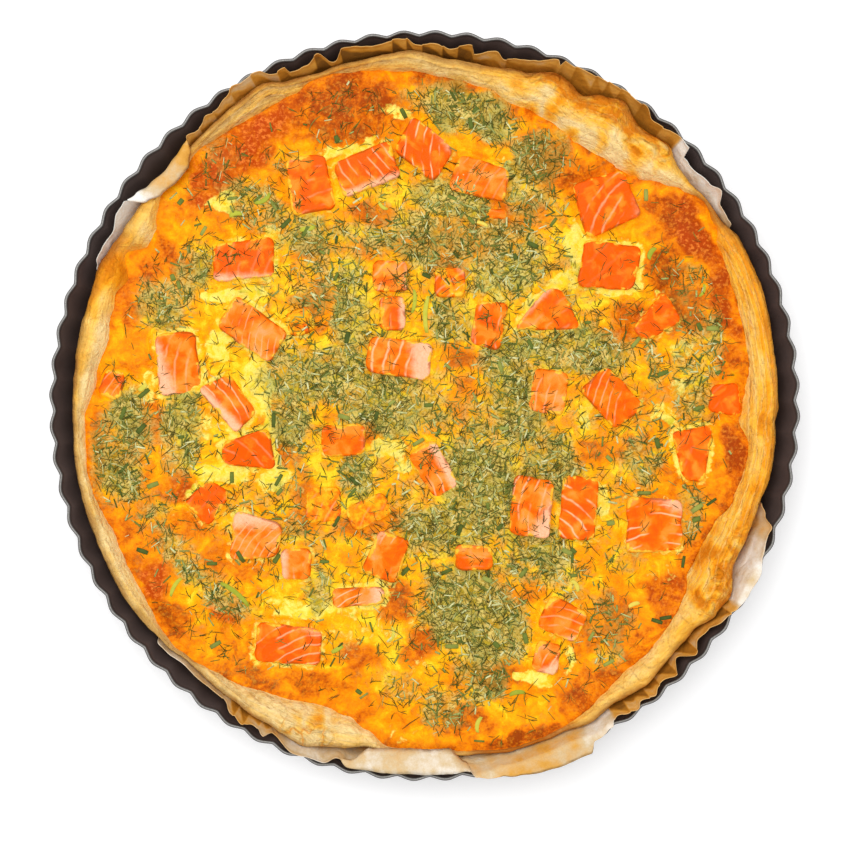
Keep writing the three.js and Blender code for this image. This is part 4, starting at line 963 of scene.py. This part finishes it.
def build_crust():
    degrees = LAY_START + np.arange(CRUST_STEPS) * 360 / CRUST_STEPS
    level = 0 * degrees
    around = ring_points(CRUST_MEAN_RADIUS, degrees, 0)
    golden_outer, golden_inner, edge_brown_and_shade, flaky, shade = (
        station_values(CRUST_TONES, column, degrees) for column in range(1, 6)
    )
    run = np.cumsum(0.55 - 0.42 * flaky) * CRUST_MEAN_RADIUS * TAU / CRUST_STEPS
    outer = crust_outer(degrees) + OUTER_WANDER * layered_noise(around, 4, 11)
    inner = crust_inner(degrees) + INNER_WANDER * layered_noise(around, 5, 12)
    width = np.maximum(outer - inner, CRUST_THIN_WALL)
    inner = outer - width
    fullness = crust_fullness(degrees)
    crest = crust_crest(degrees) + CREST_WANDER * fullness * layered_noise(around, 13, 13)
    shoulder = crust_shoulder(degrees)
    lip = custard_level(*on_circle(inner, degrees)) - 1
    bulge = smoothstep(PUFF_WIDTH - 3, PUFF_WIDTH, width)
    segmented = smoothstep(SEGMENT_FROM, SEGMENT_FROM + SEGMENT_FADE, degrees % 360)
    segmented = segmented * smoothstep(SEGMENT_TO, SEGMENT_TO - SEGMENT_FADE, degrees % 360)
    rows, lays, goldens, brown_and_shade_rows, shades, layers, puffed = [], [], [], [], [], [], []

    def add_row(radius, z, golden, brown_and_shade):
        rows.append(ring_points(radius, degrees, z))
        lays.append(np.column_stack([run, radius - CRUST_MEAN_RADIUS + level, z + level]) * MM)
        goldens.append(golden + level)
        brown_and_shade_rows.append(brown_and_shade + level)

    add_row(CRUST_BASE_RADIUS, CRUST_BOTTOM, golden_outer, 0.2)
    for share in np.linspace(0, 1, CRUST_SIDE_ROWS):
        z = CRUST_WAIST_HEIGHT + (shoulder - CRUST_WAIST_HEIGHT) * share
        sheets = noise(np.column_stack([around[:, :2] * 0.35, z * 2.2]), 1.6, 21)
        radius = crust_waist(degrees) + (outer - crust_waist(degrees)) * share + SHEET_RISE * sheets * share
        add_row(radius, z, golden_outer, 0.25 + edge_brown_and_shade * 0.5 * share)
    for share in np.linspace(0.02, 1, CRUST_TOP_ROWS):
        z = shoulder + (crest - shoulder) * np.interp(share, PROFILE_AT, PROFILE_CLIMB)
        z = z + (lip - z) * np.interp(share, PROFILE_AT, PROFILE_FALL)
        radius = outer - width * share
        place = ring_points(radius, degrees, z)
        strip = np.column_stack([run, radius, level])
        body = math.sin(math.pi * min(1, share * 1.08)) ** 0.5

        # Flakes, lumps and puffs
        warped = strip + 1.6 * noise(place, 9, 31)[:, None] * np.array([0, 1, 0])
        ridge = 1 - np.abs(noise(warped, (2.6, 2.4, 1), 32)) * 2
        flake = (radius + 1.3 * noise(strip, (7, 5, 1), 34)) / FLAKE_STEP % 1
        puffs = np.abs(noise(place, 9, 35))
        relief = flaky * (RIDGE_RISE * ridge + FLAKE_RISE * flake**2)
        relief = relief + LUMP_RISE * layered_noise(place, 6, 33) + (1 - 0.6 * flaky) * PUFF_RISE * puffs

        # Wrinkles of the puffed stretch, and the pinches of the segmented one
        wrinkle = np.abs(layered_noise(place, (8, 8, 20), 45, 2))
        segment = np.abs(np.sin(np.radians(180 * (degrees / SEGMENT_STEP + 0.55 * noise(place, 7, 46)))))
        relief = relief + WRINKLE_RISE * bulge * wrinkle + SEGMENT_RISE * segmented * np.sqrt(segment)

        # Steps between the layers
        strata = (share * width + 1.5 * noise(strip, (16, 40, 1), 38)) / STRATA_STEP
        step = shade * (smoothstep(0, 0.85, strata % 1) - smoothstep(0.85, 1, strata % 1))
        z = z + body * (fullness * relief + STEP_RISE * step)

        # Colours. The outermost edge is darker, partly real browning and partly painted shade where it falls
        # away, and the pinches and creases are darker as painted shade
        blend = smoothstep(0.3, 0.7, share + 0.22 * noise(place, 8, 36))
        golden = golden_outer * (1 - blend) + golden_inner * blend
        golden = golden + 0.1 * ridge * flaky - 0.2 * flake**2 * flaky + bulge * (1.3 * wrinkle - 0.2)
        from_edge = share * width + 1.2 * noise(place, 4, 37)
        brown_and_shade = np.max([
            edge_brown_and_shade * (1 - smoothstep(0.2, EDGE_BROWN_AND_SHADE_WIDTH, from_edge)),
            0.5 * segmented * smoothstep(0.22, 0, segment) * body,
            0.6 * bulge * smoothstep(0.1, 0.0, wrinkle) * golden_outer * (1 - 0.8 * blend),
            0.45 * (1 - flaky) * body * smoothstep(0.07, 0, puffs),
        ], axis=0)
        add_row(radius, z, golden, brown_and_shade)
        layers.append(strata)
        puffed.append(bulge * (1 - 0.85 * blend))
        shades.append(shade * (0.55 + 0.75 * (1 - step / np.maximum(shade, 0.01)) * body))
    add_row(inner - 1.2, lip - 3, golden_inner, 0)
    add_row(np.minimum(inner - CRUST_FLOOR_INSET, CRUST_FLOOR_EDGE), CRUST_FLOOR, golden_inner, 0)

    def all_rows(first, top_rows, last):
        return [first] * (CRUST_SIDE_ROWS + 1) + top_rows + [last] * 2

    masks = {
        "lay": lays, "golden": goldens, "brown_and_shade": brown_and_shade_rows, "flaky": [flaky] * len(rows),
        "shade": all_rows(shade, shades, shade), "strata": all_rows(layers[0], layers, layers[-1]),
        "puffed": all_rows(puffed[0], puffed, puffed[-1]),
    }
    make_round_piece("pastry_case", rows, (CRUST_BOTTOM, CRUST_FLOOR), crust_material(), masks, "crust")


# Baking paper
def build_paper():
    degrees = np.arange(PAPER_STEPS) * 360 / PAPER_STEPS
    around = ring_points(PAPER_MEAN_RADIUS, degrees, 0)
    turn = station_values(PAPER_STATIONS, 2, degrees)
    folded_in = turn < -1
    edge = station_values(PAPER_STATIONS, 1, degrees) + PAPER_WANDER * layered_noise(around, 4, 41, 3)
    crest = crust_crest(degrees)
    rising = PAPER_LOW + PAPER_RISE * np.maximum(0, edge - PAPER_LOW_EDGE)
    leaning = PAPER_LEAN_HEIGHT + PAPER_LEAN * (edge - PAPER_LEAN_EDGE)
    z = np.minimum(np.minimum(PAPER_TOP, rising), np.maximum(leaning, PAPER_LOW))
    z = np.where(folded_in, np.maximum(z, crest + FOLD_OVER_CREST), z)
    z = np.where(turn > 1, PAPER_TOP, z)
    radius = np.maximum(edge, crust_side(degrees, z) + PAPER_CLEAR + 0.6)
    waist = crust_waist(degrees) + PAPER_CLEAR
    wall_tone, strip_tone = (station_values(PAPER_TONES, column, degrees, eased=False) for column in (1, 2))
    # Pleats: the upper part of each pleat's face takes the lighter strip tone as painted light, and the rest
    # of the wall keeps its darker tone, partly painted shade
    pleat = (degrees / PLEAT_STEP + 1.6 * noise(around, 16, 43)) % 1
    wall_brown_and_shade = smoothstep(0.4, 0.7, wall_tone)
    light_from = 0.55 + 0.42 * pleat * wall_brown_and_shade
    lip_z = np.where(folded_in, crest + FOLD_END_OVER_CREST, z + 2 - np.abs(turn) / 2)
    lip_radius = radius + turn + np.where(folded_in, 0, 0.3)

    # Rings: radius, height, share of the wall, share of the strip beyond it
    rings = [(PAPER_BASE_RADIUS - 0.4, PAPER_BOTTOM, 0, 0)]
    for share in np.linspace(0, 1, PAPER_WALL_RINGS):
        ring_z = CRUST_WAIST_HEIGHT + (z - CRUST_WAIST_HEIGHT) * share
        rings.append((waist + (radius - waist) * share, ring_z, share, 0))
    for share in np.linspace(0, 1, PAPER_LIP_RINGS)[1:]:
        arch = math.sin(math.pi * share) * np.where(folded_in, 0.9, 0.15)
        rings.append((radius + (lip_radius - radius) * share, z + (lip_z - z) * share + arch, 1, share))

    outside, inside, tones, lip_highlights = [], [], [], []
    for ring_radius, ring_z, loose, strip in rings:
        place = np.column_stack([around[:, :2], ring_z + 0 * degrees])
        crinkle = CRINKLE * loose * layered_noise(place, 6, 51, 3)
        crinkle = crinkle + PLEAT_DEPTH * wall_brown_and_shade * loose**2 * (pleat - 0.6)
        lift = PAPER_THICKNESS if loose == 0 else 0
        outside.append(ring_points(ring_radius + crinkle, degrees, ring_z))
        inside.append(ring_points(ring_radius + crinkle - PAPER_THICKNESS, degrees, ring_z + lift))
        light = np.maximum(strip, 0.9 * smoothstep(0, 0.12, loose - light_from))
        tones.append(wall_tone + (strip_tone - wall_tone) * light)
        # The last ring of the strip gets the painted edge highlight
        lip_highlights.append(np.full(PAPER_STEPS, float(strip > 0.95)) * np.where(np.abs(turn) > 1, 0.6, 1))
    rows = outside + inside[::-1]
    ends = (PAPER_BOTTOM, PAPER_BOTTOM + PAPER_THICKNESS)
    masks = {"baked_and_shaded": tones + tones[::-1], "lip": lip_highlights + lip_highlights[::-1]}
    make_round_piece("baking_paper", rows, ends, paper_material(), masks, "parchment")


# Salmon
def chunk_distance(chunk, x, y):
    """How far points lie outside a chunk's outline, below 0 inside it."""
    cx, cy, length, width, turn, taper, skew, lean = chunk[:8]
    turn = math.radians(turn)
    along = (x - cx) * math.cos(turn) + (y - cy) * math.sin(turn)
    across = (y - cy) * math.cos(turn) - (x - cx) * math.sin(turn)
    reach = along / (length / 2)
    corner = min(CHUNK_CORNER, 0.4 * min(length, width))
    half = width / 2 * (1 - taper / 2 * np.clip(reach, -1, 1))
    across = across - skew * width / 2 * np.clip(reach, -1, 1)
    long_half = length / 2 * (1 - lean / 2 * np.clip(across / (width / 2), -1, 1))
    over_long = np.abs(along) - long_half + corner
    over_wide = np.abs(across) - half + corner
    outside = np.hypot(np.maximum(over_long, 0), np.maximum(over_wide, 0))
    return outside + np.minimum(np.maximum(over_long, over_wide), 0) - corner


def chunk_top(chunk, x, y):
    cx, cy, reach = chunk[0], chunk[1], CHUNK_SLOPE_REACH
    rise_x = custard_level(cx + reach, cy) - custard_level(cx - reach, cy)
    rise_y = custard_level(cx, cy + reach) - custard_level(cx, cy - reach)
    return custard_level(cx, cy) + chunk[8] + (rise_x * (x - cx) + rise_y * (y - cy)) / (2 * reach)


def near_chunk(chunk, x, y, margin=0):
    """Which points are so near a chunk that they may lie on it, or within a margin of it."""
    return np.flatnonzero(np.hypot(x - chunk[0], y - chunk[1]) < max(chunk[2], chunk[3]) + margin)


def build_chunk(number, chunk, look, material):
    cx, cy = chunk[:2]
    angles = np.arange(CHUNK_STEPS) * TAU / CHUNK_STEPS
    cos, sin = np.cos(angles), np.sin(angles)

    # The outline, found along each direction by halving
    low, high = np.zeros(CHUNK_STEPS), np.full(CHUNK_STEPS, CHUNK_REACH)
    for _ in range(CHUNK_HALVINGS):
        middle = (low + high) / 2
        inside = chunk_distance(chunk, cx + middle * cos, cy + middle * sin) < 0
        low, high = np.where(inside, middle, low), np.where(inside, high, middle)
    rim_place = np.column_stack([cx + low * cos, cy + low * sin, 0 * low])
    rim = low + CHUNK_WANDER * layered_noise(rim_place, 4.5, 60 + number, 3) - 0.1

    # Rings: radius, height against the top, and whether it is lumpy
    bottom = custard_level(cx, cy) - CHUNK_DEPTH
    foot = rim - CHUNK_FOOT_INSET
    rings = [(rim, -CHUNK_FLANK, False)]
    for bend in np.linspace(0, 1, CHUNK_BEVEL_RINGS) * math.pi / 2:
        rings.append((rim - CHUNK_BEVEL * (1 - math.cos(bend)), -CHUNK_BEVEL * (1 - math.sin(bend)), True))
    for share in np.linspace(1, 0, CHUNK_RINGS)[1:-1]:
        rings.append(((rim - CHUNK_BEVEL) * share, 0, True))
    points = [np.column_stack([cx + foot * cos, cy + foot * sin, np.full(CHUNK_STEPS, bottom)])]
    edges = [np.ones(CHUNK_STEPS)]
    for radius, rise, lumpy in rings:
        x, y = cx + radius * cos, cy + radius * sin
        z = chunk_top(chunk, x, y) + rise
        if lumpy:
            z = z + CHUNK_LUMPS * layered_noise(flat_points(x, y), 7, 70 + number, 3)
        points.append(np.column_stack([x, y, z]))
        edges.append(1 - smoothstep(0, CHUNK_CREEP, rim - radius))
    faces = ring_faces(len(points), CHUNK_STEPS)
    points = np.concatenate([*points, [[cx, cy, bottom], [cx, cy, float(points[-1][:, 2].mean())]]])

    # The grain of the meat, bent a little, and the side with a painted highlight
    heading, spacing, white, tone, film, _, highlight_heading, highlight_strength = look
    x, y = points[:, 0] - cx, points[:, 1] - cy
    turn = math.radians(heading + 90)
    along = y * math.cos(turn) - x * math.sin(turn)
    across = x * math.cos(turn) + y * math.sin(turn) + 0.015 * along**2
    side_turn = math.radians(highlight_heading)
    toward = x * math.cos(side_turn) + y * math.sin(side_turn)
    side_from = 0.35 - 0.45 * smoothstep(0.8, 1.1, highlight_strength)
    masks = {
        "grain": np.column_stack([across / spacing, along / spacing, 0 * across]),
        "side": highlight_strength * smoothstep(side_from, 1.05, toward / toward.max()),
        "tone": np.full(len(points), tone), "white": np.full(len(points), white),
        "film": np.full(len(points), film), "edge": np.concatenate([*edges, [1, 0]]),
    }
    node = f"salmon_{number:02d}"
    make_piece(f"chunk_{number:02d}", points, faces, material, masks, [node])


def build_salmon():
    material = salmon_material()
    for number, (chunk, look) in enumerate(zip(CHUNKS, CHUNK_LOOKS), start=1):
        build_chunk(number, chunk, look, material)


# Custard
def herb_thickness(x, y):
    """How thick the herbs lie, from 0 to about 1."""
    flat = flat_points(x, y)
    thick = strongest(DILL_PLACES, *drifted(x, y, 81), 0.3, 2.3)
    loose = 0.3 * smoothstep(112, 70, np.hypot(x, y)) + 0.28 * layered_noise(flat, 16, 84)
    return np.maximum(thick, loose) * (0.95 + 0.7 * layered_noise(flat, 7, 83))


def over_salmon(x, y):
    """How thick the herbs lie over the salmon, from 0 to about 1."""
    return strongest(DILL_OVER_SALMON, x, y, 0.4, 1.6)


def pale_cover(x, y):
    """How pale the custard is in its pale places, from 0 to about 1."""
    return strongest(PALE_PLACES, *drifted(x, y, 101), 0.2, 1.6)


def chunk_cover(x, y):
    """The distance from the nearest chunk, and how pale the custard is round it."""
    nearest = np.full(x.shape, 99.0)
    pale = np.zeros(x.shape)
    for chunk, look in zip(CHUNKS, CHUNK_LOOKS):
        near = near_chunk(chunk, x, y, 8)
        away = chunk_distance(chunk, x[near], y[near])
        nearest[near] = np.minimum(nearest[near], away)
        pale[near] = np.maximum(pale[near], look[5] * (1 - smoothstep(0.3, 4.5, away)))
    return nearest, pale


def custard_surface(x, y):
    """The custard's fine surface: its level, small lumps, and the dips round the salmon."""
    flat = flat_points(x, y)
    away, _ = chunk_cover(x, y)
    dip = -0.8 * np.exp(-((away - 1.2) / 1.3) ** 2) + 0.3 * np.exp(-(away / 0.5) ** 2)
    lumps = CUSTARD_LUMPS * layered_noise(flat, 8, 91, 5, 0.6)
    herbs = HERB_LUMPS * herb_thickness(x, y) * (0.6 + layered_noise(flat, 3, 92, 3))
    return custard_level(x, y) + dip + lumps + herbs


def disc_grid(rings):
    """Points and triangles of a disc of rings with six more points in each ring."""
    shares, angles = [0.0], [0.0]
    for ring in range(1, rings + 1):
        shares.extend([ring / rings] * (6 * ring))
        angles.extend(np.arange(6 * ring) * 360 / (6 * ring))

    def start(ring):
        return 0 if ring == 0 else 1 + 3 * ring * (ring - 1)

    faces = []
    for ring in range(1, rings + 1):
        at = np.arange(6 * ring)
        side, step = at // ring, at % ring
        inner = side * (ring - 1) + step
        inner_count = max(1, 6 * (ring - 1))
        outer_now = start(ring) + at
        outer_next = start(ring) + (at + 1) % (6 * ring)
        inner_now = start(ring - 1) + inner % inner_count
        inner_next = start(ring - 1) + (inner + 1) % inner_count
        faces.append(np.column_stack([outer_now, outer_next, inner_now]))
        faces.append(np.column_stack([inner_now, outer_next, inner_next])[step < ring - 1])
    return np.array(shares), np.array(angles), np.concatenate(faces)


def build_custard():
    shares, degrees, faces = disc_grid(CUSTARD_RINGS)
    edge = crust_inner(degrees) + CUSTARD_OVERLAP
    x, y = on_circle(shares * edge, degrees)
    flat = flat_points(x, y)
    _, moat = chunk_cover(x, y)
    warped = drifted(x, y, 101)
    brown_and_shade = 0.2 + 0.24 * smoothstep(75, 125, np.hypot(x, y)) + 0.3 * layered_noise(flat, 15, 103)
    # Browner next to the pastry: partly real browning, partly a painted shadow line
    brown_and_shade = brown_and_shade + 0.22 * smoothstep(CUSTARD_BROWN_AND_SHADE_EDGE, 0, edge - shares * edge)
    masks = {
        "brown_and_shade": np.maximum(brown_and_shade, 0.2 + strongest(BROWN_PLACES, *warped, 0.15, 1.6) * 0.7),
        "red": strongest(BROWN_PLACES, *warped, 0.15, 1.6, column=6),
        "pale": np.maximum(pale_cover(x, y), moat * np.clip(0.8 + 0.7 * layered_noise(flat, 8, 105), 0, 1.2)),
        "herb": np.clip(herb_thickness(x, y), 0, 1),
    }

    # The underside: a foot below the last ring, and the middle of the bottom
    low = len(x)
    rim = np.arange(1 + 3 * CUSTARD_RINGS * (CUSTARD_RINGS - 1), low)
    count = len(rim)
    crust_foot = np.minimum(crust_inner(degrees[rim]) - CRUST_FLOOR_INSET, CRUST_FLOOR_EDGE)
    foot = ring_points(crust_foot - CUSTARD_FOOT_CLEAR, degrees[rim], CUSTARD_BOTTOM)
    points = np.concatenate([np.column_stack([x, y, custard_surface(x, y)]), foot, [[0, 0, CUSTARD_BOTTOM]]])
    at, after = np.arange(count), (np.arange(count) + 1) % count
    side = [(low + at, low + after, rim), (low + after, rim[after], rim)]
    bottom = (np.full(count, low + count), low + after, low + at)
    faces = np.concatenate([faces, *(np.column_stack(corners) for corners in (*side, bottom))])
    masks = {key: np.concatenate([values, np.zeros(count + 1)]) for key, values in masks.items()}
    make_piece("custard", points, faces, custard_material(), masks, ["filling"])


# Herbs
def topping_height(x, y):
    """The custard's surface, or the top of the chunk that stands over it."""
    height = custard_surface(x, y)
    for chunk in CHUNKS:
        near = near_chunk(chunk, x, y)
        over = near[chunk_distance(chunk, x[near], y[near]) < -0.3]
        height[over] = np.maximum(height[over], chunk_top(chunk, x[over], y[over]))
    return height


def make_sticks(name, shape, material, tint, x, y, turn, length, radius, bend, lift):
    """One piece of many thin bent sticks that lie on the toppings."""
    sides, nodes, taper, flat = shape
    x, y, turn, length, radius, bend, lift = (
        np.broadcast_to(values, x.shape)[:, None] for values in (x, y, turn, length, radius, bend, lift)
    )
    cos, sin = np.cos(turn), np.sin(turn)
    share = np.linspace(-1, 1, nodes)
    along = share * length / 2
    sideways = bend * (share**2 - 0.4) * length
    x, y = x + along * cos - sideways * sin, y + along * sin + sideways * cos
    z = topping_height(x.ravel(), y.ravel()).reshape(x.shape) + lift
    ring = (np.arange(sides) + 0.5) * TAU / sides
    thickness = (radius * (1 - taper * np.abs(share) ** 3))[:, :, None]
    out, up = np.cos(ring) * thickness, np.sin(ring) * thickness * flat
    x, y = x[:, :, None] - sin[:, :, None] * out, y[:, :, None] + cos[:, :, None] * out
    points = np.stack([x, y, z[:, :, None] + up], axis=-1).reshape(-1, 3)
    faces = []
    for low in range(0, (nodes - 1) * sides, sides):
        for side in range(sides):
            a, b = low + side, low + (side + 1) % sides
            faces += [(a, b, a + sides), (b, b + sides, a + sides)]
    last = (nodes - 1) * sides
    faces += [(0, side + 1, side) for side in range(1, sides - 1)]
    faces += [(last, last + side, last + side + 1) for side in range(1, sides - 1)]
    faces = np.array(faces) + (np.arange(len(tint)) * nodes * sides)[:, None, None]
    masks = {"tint": np.repeat(tint, sides * nodes)}
    make_piece(name, points, faces.reshape(-1, 3), material, masks, ["filling"])


def inside_rim(x, y, margin):
    return np.hypot(x, y) < crust_inner(np.degrees(np.arctan2(y, x))) - margin


def scatter(seed, tries, reach, margin, chance):
    """A source of random numbers, and places from it that are kept by a chance for where they are."""
    random = np.random.default_rng(seed)
    distance = reach * np.sqrt(random.random(tries))
    angle = TAU * random.random(tries)
    x, y = distance * np.cos(angle), distance * np.sin(angle)
    kept = (random.random(tries) < chance(x, y)) & inside_rim(x, y, margin)
    return random, x[kept], y[kept]


def herb_cover(x, y, most=1):
    return np.clip(herb_thickness(x, y), 0, most)


def dill_chance(x, y):
    away, _ = chunk_cover(x, y)
    density = DILL_SPARSE + (DILL_DENSE - DILL_SPARSE) * herb_cover(x, y, 1.1)
    density = density * (1 - 0.65 * np.clip(pale_cover(x, y), 0, 1))
    return np.where(away < 0.5, density * 0.28 + 0.7 * over_salmon(x, y), density)


def chopped_chance(x, y):
    away, _ = chunk_cover(x, y)
    density = (0.01 + 0.7 * herb_cover(x, y) ** 1.4) * (1 - 0.8 * np.clip(pale_cover(x, y), 0, 1))
    return np.where((away > 0.6) | (over_salmon(x, y) > 0.55), density, 0)


def strand_chance(x, y):
    return 0.4 + 0.6 * herb_thickness(x, y)


def chive_chance(x, y):
    away, _ = chunk_cover(x, y)
    return np.where(away > 2.2, 0.012 + 0.12 * herb_cover(x, y), 0)


def build_dill():
    random, x, y = scatter(*DILL_SCATTER, dill_chance)
    sprig_turn = TAU * random.random(len(x))
    leaves = 1 + random.integers(0, 3, len(x)) + (herb_thickness(x, y) < 0.3)
    sprig = np.repeat(np.arange(len(x)), leaves)
    count = len(sprig)
    turn = sprig_turn[sprig] + random.normal(0, 0.5, count)
    length = 1.8 + 3.8 * random.random(count) ** 1.6
    stem = 3.6 * (random.random(count) - 0.5)
    reach = 0.35 * length
    x = x[sprig] + stem * np.cos(sprig_turn[sprig]) + reach * np.cos(turn)
    y = y[sprig] + stem * np.sin(sprig_turn[sprig]) + reach * np.sin(turn)
    inside = inside_rim(x, y, 2)
    x, y, turn, length = x[inside], y[inside], turn[inside], length[inside]
    count = len(x)
    radius = DILL_RADIUS * (0.6 + 0.7 * random.random(count))
    bend = 0.07 * random.normal(0, 1, count)
    lift = -0.1 + 0.3 * random.random(count)
    tint = random.random(count) ** 1.3
    material = herb_material(
        "dill", 1.2, (0, (0.06, 0.055, 0.009)), (0.6, (0.15, 0.13, 0.02)), (1, (0.34, 0.3, 0.05))
    )
    make_sticks("dill_leaves", DILL_SHAPE, material, tint, x, y, turn, length, radius, bend, lift)


def build_chopped_herbs():
    random, x, y = scatter(*CHOPPED_SCATTER, chopped_chance)
    count = len(x)
    turn = TAU * random.random(count)
    length = 1.5 + 2.6 * random.random(count)
    radius = 0.16 + 0.36 * random.random(count) ** 2.4
    bend = 0.16 * (random.random(count) - 0.5)
    lift = 0.15 * random.random(count)
    tint = random.random(count)
    material = herb_material(
        "chopped herbs", 0.9, (0, (0.07, 0.09, 0.016)), (0.4, (0.18, 0.2, 0.035)),
        (0.75, (0.42, 0.43, 0.13)), (1, (0.74, 0.71, 0.36)),
    )
    make_sticks("chopped_herbs", CHOPPED_SHAPE, material, tint, x, y, turn, length, radius, bend, lift)


def build_chives():
    random, x, y = scatter(*CHIVE_SCATTER, chive_chance)
    placed_x, placed_y, placed_length, placed_turn = CHIVE_PLACES.T
    turn = np.concatenate([np.radians(placed_turn), TAU * random.random(len(x))])
    length = np.concatenate([placed_length, 2.2 + 2.6 * random.random(len(x))])
    x, y = np.concatenate([placed_x, x]), np.concatenate([placed_y, y])
    radius = CHIVE_RADIUS * (0.6 + 0.5 * random.random(len(x)))
    tint = random.random(len(x))
    material = herb_material(
        "chives", 2, (0, (0.065, 0.09, 0.018)), (0.5, (0.14, 0.18, 0.03)), (1, (0.32, 0.34, 0.07))
    )
    make_sticks("chive_pieces", CHIVE_SHAPE, material, tint, x, y, turn, length, radius, 0, 0)


def build_strands():
    random, x, y = scatter(*STRAND_SCATTER, strand_chance)
    count = len(x)
    turn = TAU * random.random(count)
    length = 5 + 5 * random.random(count) ** 2
    radius = DILL_RADIUS * (0.7 + 0.5 * random.random(count))
    bend = 0.12 * random.normal(0, 1, count)
    lift = 0.1 + 0.2 * random.random(count)
    tint = random.random(count)
    material = herb_material(
        "long dill", 1.5, (0, (0.06, 0.05, 0.01)), (0.6, (0.14, 0.11, 0.02)), (1, (0.24, 0.25, 0.05))
    )
    make_sticks("dill_strands", STRAND_SHAPE, material, tint, x, y, turn, length, radius, bend, lift)


def build_leek():
    random = np.random.default_rng(LEEK_SEED)
    x, y, length, turn = LEEK_PLACES.T
    radius = 0.65 + 0.4 * random.random(len(x))
    bend = 0.4 * (random.random(len(x)) - 0.5)
    tint = random.random(len(x))
    turn = np.radians(turn)
    material = herb_material(
        "leek", 2, (0, (0.3, 0.35, 0.03)), (0.5, (0.5, 0.5, 0.05)), (1, (0.8, 0.62, 0.1))
    )
    make_sticks("leek_pieces", LEEK_SHAPE, material, tint, x, y, turn, length, radius, bend, 0)


# Stage
def build_stage():
    mesh = bpy.data.meshes.new("floor")
    corners = [(x * FLOOR_HALF, y * FLOOR_HALF, 0) for x, y in ((-1, -1), (1, -1), (1, 1), (-1, 1))]
    mesh.from_pydata(corners, [], [(0, 1, 2, 3)])
    surface = Surface(
        "floor", Roughness=0.9, Base_Color=FLOOR_WHITE, Emission_Color=(1, 1, 1, 1),
        Emission_Strength=FLOOR_GLOW,
    )
    mesh.materials.append(surface.material)
    floor = add_object("floor", mesh)

    world = bpy.data.worlds.new("studio")
    world.use_nodes = True
    room = world.node_tree.nodes["Background"]
    room.inputs["Color"].default_value = (1, 1, 1, 1)
    room.inputs["Strength"].default_value = ROOM_LIGHT
    bpy.context.scene.world = world

    for name, place, size, power in LAMPS:
        light = bpy.data.lights.new(name, "AREA")
        light.size = size
        light.energy = power
        lamp = add_object(name, light, place)
        lamp.rotation_euler = (-lamp.location).to_track_quat("-Z", "Y").to_euler()


def build_camera():
    camera = bpy.data.cameras.new("camera")
    camera.sensor_width = SENSOR_WIDTH
    camera.lens = SENSOR_WIDTH * CAMERA_OVER_RIM / VIEW_WIDTH
    camera.clip_start = 0.01
    place = (VIEW_CENTRE[0] * MM, VIEW_CENTRE[1] * MM, (TIN_HEIGHT + CAMERA_OVER_RIM) * MM)
    bpy.context.scene.camera = add_object("camera", camera, place)


build_camera()
build_stage()
build_tin()
build_paper()
build_crust()
build_custard()
build_salmon()
build_dill()
build_chopped_herbs()
build_chives()
build_strands()
build_leek()
bpy.context.scene.view_settings.view_transform = "Standard"
bpy.context.scene.view_settings.look = "None"
